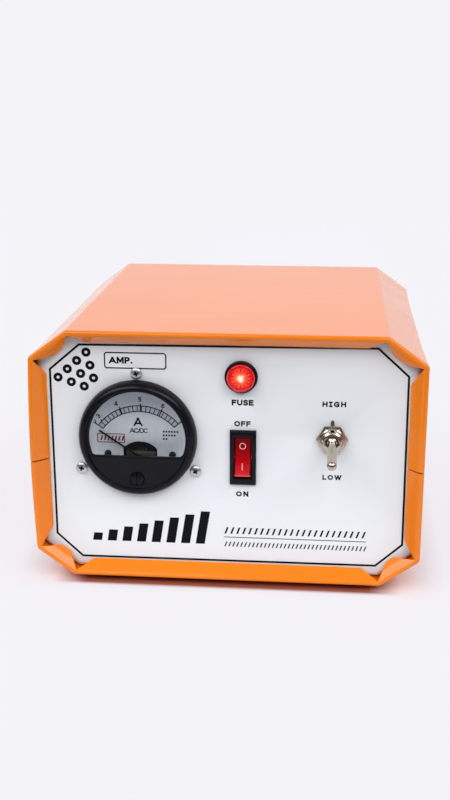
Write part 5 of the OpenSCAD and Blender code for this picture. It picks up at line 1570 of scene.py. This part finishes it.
class ChargerLamp(bpy.types.Operator):
    """Moulds the lamp's fluted lens"""

    bl_idname = "charger.lamp"
    bl_label = "Lamp"

    def execute(self, context):
        back, top = back_and_front("lamp_lens")
        r = size_of("lamp_lens").x / 2
        seat, lip, wall, skirt, rim = 1.0, 0.7, 1.2, 5.26, 2.0
        edge = rim + 0.55 * (top - rim)
        front, spring = r - 1.35, 0.25
        dome = [(front * math.sin(a), edge + spring + (top - edge - spring) * math.cos(a))
                for a in (math.asin(k / 26) for k in range(1, 26))]
        roll = [(front, edge), (front + 0.15, edge - 0.15), (front + 0.4, edge + 0.1),
                (front + 0.75, edge + 0.3), (front + 1.05, edge + 0.2), (r - 0.1, edge - 0.1),
                (r, edge - 0.45)]
        foot = [(r, seat + 0.3), (r - 0.3, seat), (skirt, seat), (skirt, back),
                (skirt - wall, back), (skirt - wall, edge - lip), (0.0, edge - 0.3)]
        mesh = to_panel(spun([(0.0, top), *dome, *roll, *foot], 168), *LAMP)
        mesh = grown(flute_tree(), mesh, {
            "Flutes": FLUTES, "Depth": mm(0.18), "From": mm(1.6), "To": mm(4.4),
            "Centre": tuple(on_panel(*LAMP)), "Front": PANEL_FACE - mm(edge),
            "Finish": FINISH["red_lens"]})
        piece("lens_fluted", soften(tidy(mesh), 40), "red_lens", slot="red_lens",
              replaces=("lamp_lens",))
        return {"FINISHED"}


class ChargerSwitches(bpy.types.Operator):
    """Makes the rocker and the toggle's nut, and prints the rocker's marks"""

    bl_idname = "charger.switches"
    bl_label = "Switches"

    def execute(self, context):
        cap = self.cap()
        piece("rocker_cap", cap, "red_cap", "rocker", slot="red_lens", replaces=("switch_rocker",))
        self.marks(cap, context.scene.charger_print.film)
        self.nut()
        return {"FINISHED"}

    def cap(self):
        """The rocker from its section: a shallow V in front, its edges cut back."""
        tilt, pivot, rim, reach, half = math.radians(11), 2.6, 1.9, 11.35, 4.45
        pin_r, pin_reach = 1.45, 5.2
        valley = -(rim + pivot) / math.cos(tilt)
        tip_z = (reach + valley * math.sin(tilt)) * math.cos(tilt)
        upper = [(valley - tip_z * math.tan(tilt), tip_z), (-reach * math.sin(tilt), reach * math.cos(tilt)),
                 (1.0, 5.0), (7.5, 1.6)]
        section = [(valley, 0.0), *upper, *[(y, -z) for y, z in reversed(upper)]]
        count = len(section)
        points = [mm(x, y, z) for x in (-half, half) for y, z in section]
        faces = [tuple(range(count)), tuple(range(2 * count - 1, count - 1, -1))]
        faces += [(k, (k + 1) % count, count + (k + 1) % count, count + k) for k in range(count)]
        obj = draft(tidy(new_mesh("cap", points, faces)))
        ease_edges(obj, 0.65, 40, segments=1)
        pin = spun([(0, -pin_reach), (pin_r, -pin_reach), (pin_r, pin_reach), (0, pin_reach)], 24)
        pin.transform(Matrix.Rotation(math.pi / 2, 4, "Y"))
        mesh = joined([evaluated_mesh(obj), pin])
        mesh.transform(Matrix.Translation(on_panel(*ROCKER, -pivot)) @ Matrix.Rotation(-tilt, 4, "X"))
        return soften(mesh, 25)

    def nut(self):
        """Thin six-sided nut, turned down at its corners, with a round collar in front."""
        flats, base, thin, high, bore, collar_r = 14.8, 0.8, 1.2, 2.6, 5.97, 6.85
        hexagon = plate([circle(flats / math.sqrt(3), steps=6), circle(bore, steps=72)], thin)
        cone = spun([(0, -1), (9.2, -1), (9.2, thin - 0.45), (8.5, thin - 0.2), (7.5, thin), (0, thin)], 96)
        collar = spun(eased([(bore, thin - 0.1, 0), (collar_r, thin - 0.1, 0),
                             (collar_r, high - 0.75, 0.1), (6.15, high, 0.1), (bore, high, 0)]),
                      96, closed=True)
        mesh = soften(joined([carved(hexagon, cone, "INTERSECT"), collar]), 20)
        piece("toggle_nut_turned", to_panel(mesh, *TOGGLE, base), "nickel", slot="nickel",
              replaces=("toggle_nut",))

    def marks(self, cap, film):
        """A ring on the pressed half and a bar on the raised one, laid on the cap's face."""
        face = BVHTree.FromPolygons([v.co for v in cap.vertices], [p.vertices for p in cap.polygons])

        def on_cap(x, z, out=0.0):
            hit = face.ray_cast(on_panel(x, z, 40), Vector((0, 1, 0)))[0]
            return hit - Vector((0, mm(out), 0))

        x, z = ROCKER
        bar_left, bar_right, bar_top, bar_length, bits = -0.33, 0.13, -2.3, 3.48, 6
        art = Print()
        art.ring((x - 0.05, z + 7.0), 3.6, 2.75)
        for k in range(bits):
            top = z + bar_top - bar_length / bits * k
            art.bar((x + bar_left, top - bar_length / bits), (x + bar_right, top))
        piece("rocker_marks", art.film(on_cap, film), "pale_ink", "rocker")


# ---------------------------------------------------------------- inside


class ChargerInside(bpy.types.Operator):
    """Stacks the transformer's laminations, winds its turns and makes the glass fuse"""

    bl_idname = "charger.inside"
    bl_label = "Inside"

    def execute(self, context):
        self.laminations()
        self.windings()
        self.fuse()
        return {"FINISHED"}

    def windings(self):
        """Turns of wire under turns of tape, each turn a rounded ring about the core's middle leg."""
        layer = (size_of("secondary_winding").x - size_of("primary_winding").x) / 2
        for node, pitch, bevel, finish in (("primary_winding", 1.0, 0.45, "winding_copper"),
                                           ("secondary_winding", 5.2, 0.3, "winding_tape")):
            (low, high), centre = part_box(node), middle(node)
            w, d, height = size_of(node).x / 2, size_of(node).y / 2, (high.z - low.z) * 1000
            count = int(height / pitch)
            step = height / count
            turn = plate([rounded_box((-w, -d), (w, d), layer),
                          rounded_box((layer - w, layer - d), (w - layer, d - layer), 0.6)],
                         step * 0.98, bevel)
            places = [((centre.x, centre.y, low.z + mm(step * k)), (0, 0, 0)) for k in range(count)]
            piece(node + "_turns", soften(repeated(turn, places, finish), 40), finish, slot=finish,
                  replaces=(node,))

    def laminations(self):
        """Thin sheets with two windows, stacked from front to back."""
        low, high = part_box("transformer_core")
        size, x = size_of("transformer_core"), middle("transformer_core").x
        window, pitch, packing = 16.0, 0.5, 0.86
        leg = size.x / 3
        outline = [(-size.x / 2, 0), (size.x / 2, 0), (size.x / 2, size.z), (-size.x / 2, size.z)]
        holes = [[(left, window), (left, size.z - window), (left + window, size.z - window),
                  (left + window, window)] for left in (-leg / 2 - window, leg / 2)]
        sheet = plate([outline, *holes], pitch * packing)
        places = [((x, high.y - mm(pitch * k), low.z), (math.pi / 2, 0, 0))
                  for k in range(int(size.y / pitch))]
        piece("core_laminations", soften(repeated(sheet, places, "core_steel"), 30), "core_steel",
              slot="core_steel", replaces=("transformer_core",))

    def fuse(self):
        """A glass tube between two metal caps, with a thin wire in it."""
        spot = panel_spot("glass_fuse")
        start, end = back_and_front("glass_fuse")
        r, cap, wall, slack = size_of("glass_fuse").x / 2, 6.0, 0.6, 0.25
        wire_r, wire_inset = 0.12, 0.6
        glass = r - slack
        tube = [(glass - wall, start + 1), (glass, start + 1), (glass, end - 1), (glass - wall, end - 1)]
        piece("fuse_tube", to_panel(soften(spun(tube, 40, closed=True)), *spot), "clear_glass",
              slot="clear_glass", replaces=("glass_fuse",))
        caps = []
        for a, b in ((start, start + cap), (end, end - cap)):
            floor = a + (b - a) * 0.1
            caps.append(spun(eased([(0, a, 0), (r, a, 0.4), (r, b, 0.15), (r - 0.24, b, 0),
                                    (r - 0.24, floor, 0), (0, floor, 0)]), 40))
        low, high = start + wire_inset, end - wire_inset
        caps.append(spun([(0, low), (wire_r, low), (wire_r, high), (0, high)], 12))
        piece("fuse_caps", to_panel(soften(joined(caps)), *spot), "nickel", slot="nickel")


# ---------------------------------------------------------------- eased solids

# How far the edges of a solid are eased where it differs from the rest, in millimetres
EASES = {
    "feet": 0.8, "mains_grommet": 0.4, "output_grommet": 0.4, "toggle_body": 0.4, "rectifier": 0.4,
    "fuse_block": 0.4, "terminal_strip": 0.4, "heat_sink": 0.25, "transformer_strap": 0.25,
    "transformer_bobbin": 0.2, "meter_case": 0.3, "lamp_bezel": 0.15, "switch_body": 0.25,
}
# The solids that ride on another body than the charger's own
EASED_ON = {"toggle_lever": "toggle_lever"}
LEFT_AS_THEY_ARE = ("meter_window", "lamp_bulb", "hairspring")


class ChargerEasedSolids(bpy.types.Operator):
    """Eases the edges of the solids that have no finer piece of their own"""

    bl_idname = "charger.eased_solids"
    bl_label = "Eased solids"

    def execute(self, context):
        for node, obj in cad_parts.items():
            if node in REPLACED or node in LEFT_AS_THEY_ARE:
                continue
            slot = slot_of(obj)
            piece(node + "_eased", eased_copy(node, EASES.get(node, 0.12)), slot,
                  EASED_ON.get(node, BODY), slot=slot, replaces=(node,))
        return {"FINISHED"}


# ---------------------------------------------------------------- panel and main


OPERATORS = (ChargerFinishes, ChargerStage, ChargerCaseShells, ChargerPanelPrint, ChargerMeter,
             ChargerScrews, ChargerLamp, ChargerSwitches, ChargerInside, ChargerEasedSolids)


class ChargerPanel(bpy.types.Panel):
    """Lists the steps that make the charger"""

    bl_idname = "VIEW3D_PT_charger"
    bl_label = "Battery charger"
    bl_space_type = "VIEW_3D"
    bl_region_type = "UI"
    bl_category = "Charger"

    def draw(self, context):
        for step in OPERATORS:
            self.layout.operator(step.bl_idname)
        for group in GROUPS:
            box = self.layout.box()
            props = getattr(context.scene, group)
            for name in props.__annotations__:
                box.prop(props, name)


CLASSES = (*GROUPS.values(), *OPERATORS, ChargerPanel)


def register():
    for cls in CLASSES:
        bpy.utils.register_class(cls)
    for name, group in GROUPS.items():
        setattr(bpy.types.Scene, name, PointerProperty(type=group))


def unregister():
    for name in GROUPS:
        delattr(bpy.types.Scene, name)
    for cls in reversed(CLASSES):
        bpy.utils.unregister_class(cls)


def main():
    """Makes the charger."""
    register()
    for step in OPERATORS:
        group, name = step.bl_idname.split(".")
        getattr(getattr(bpy.ops, group), name)()


if __name__ == "__main__":
    main()
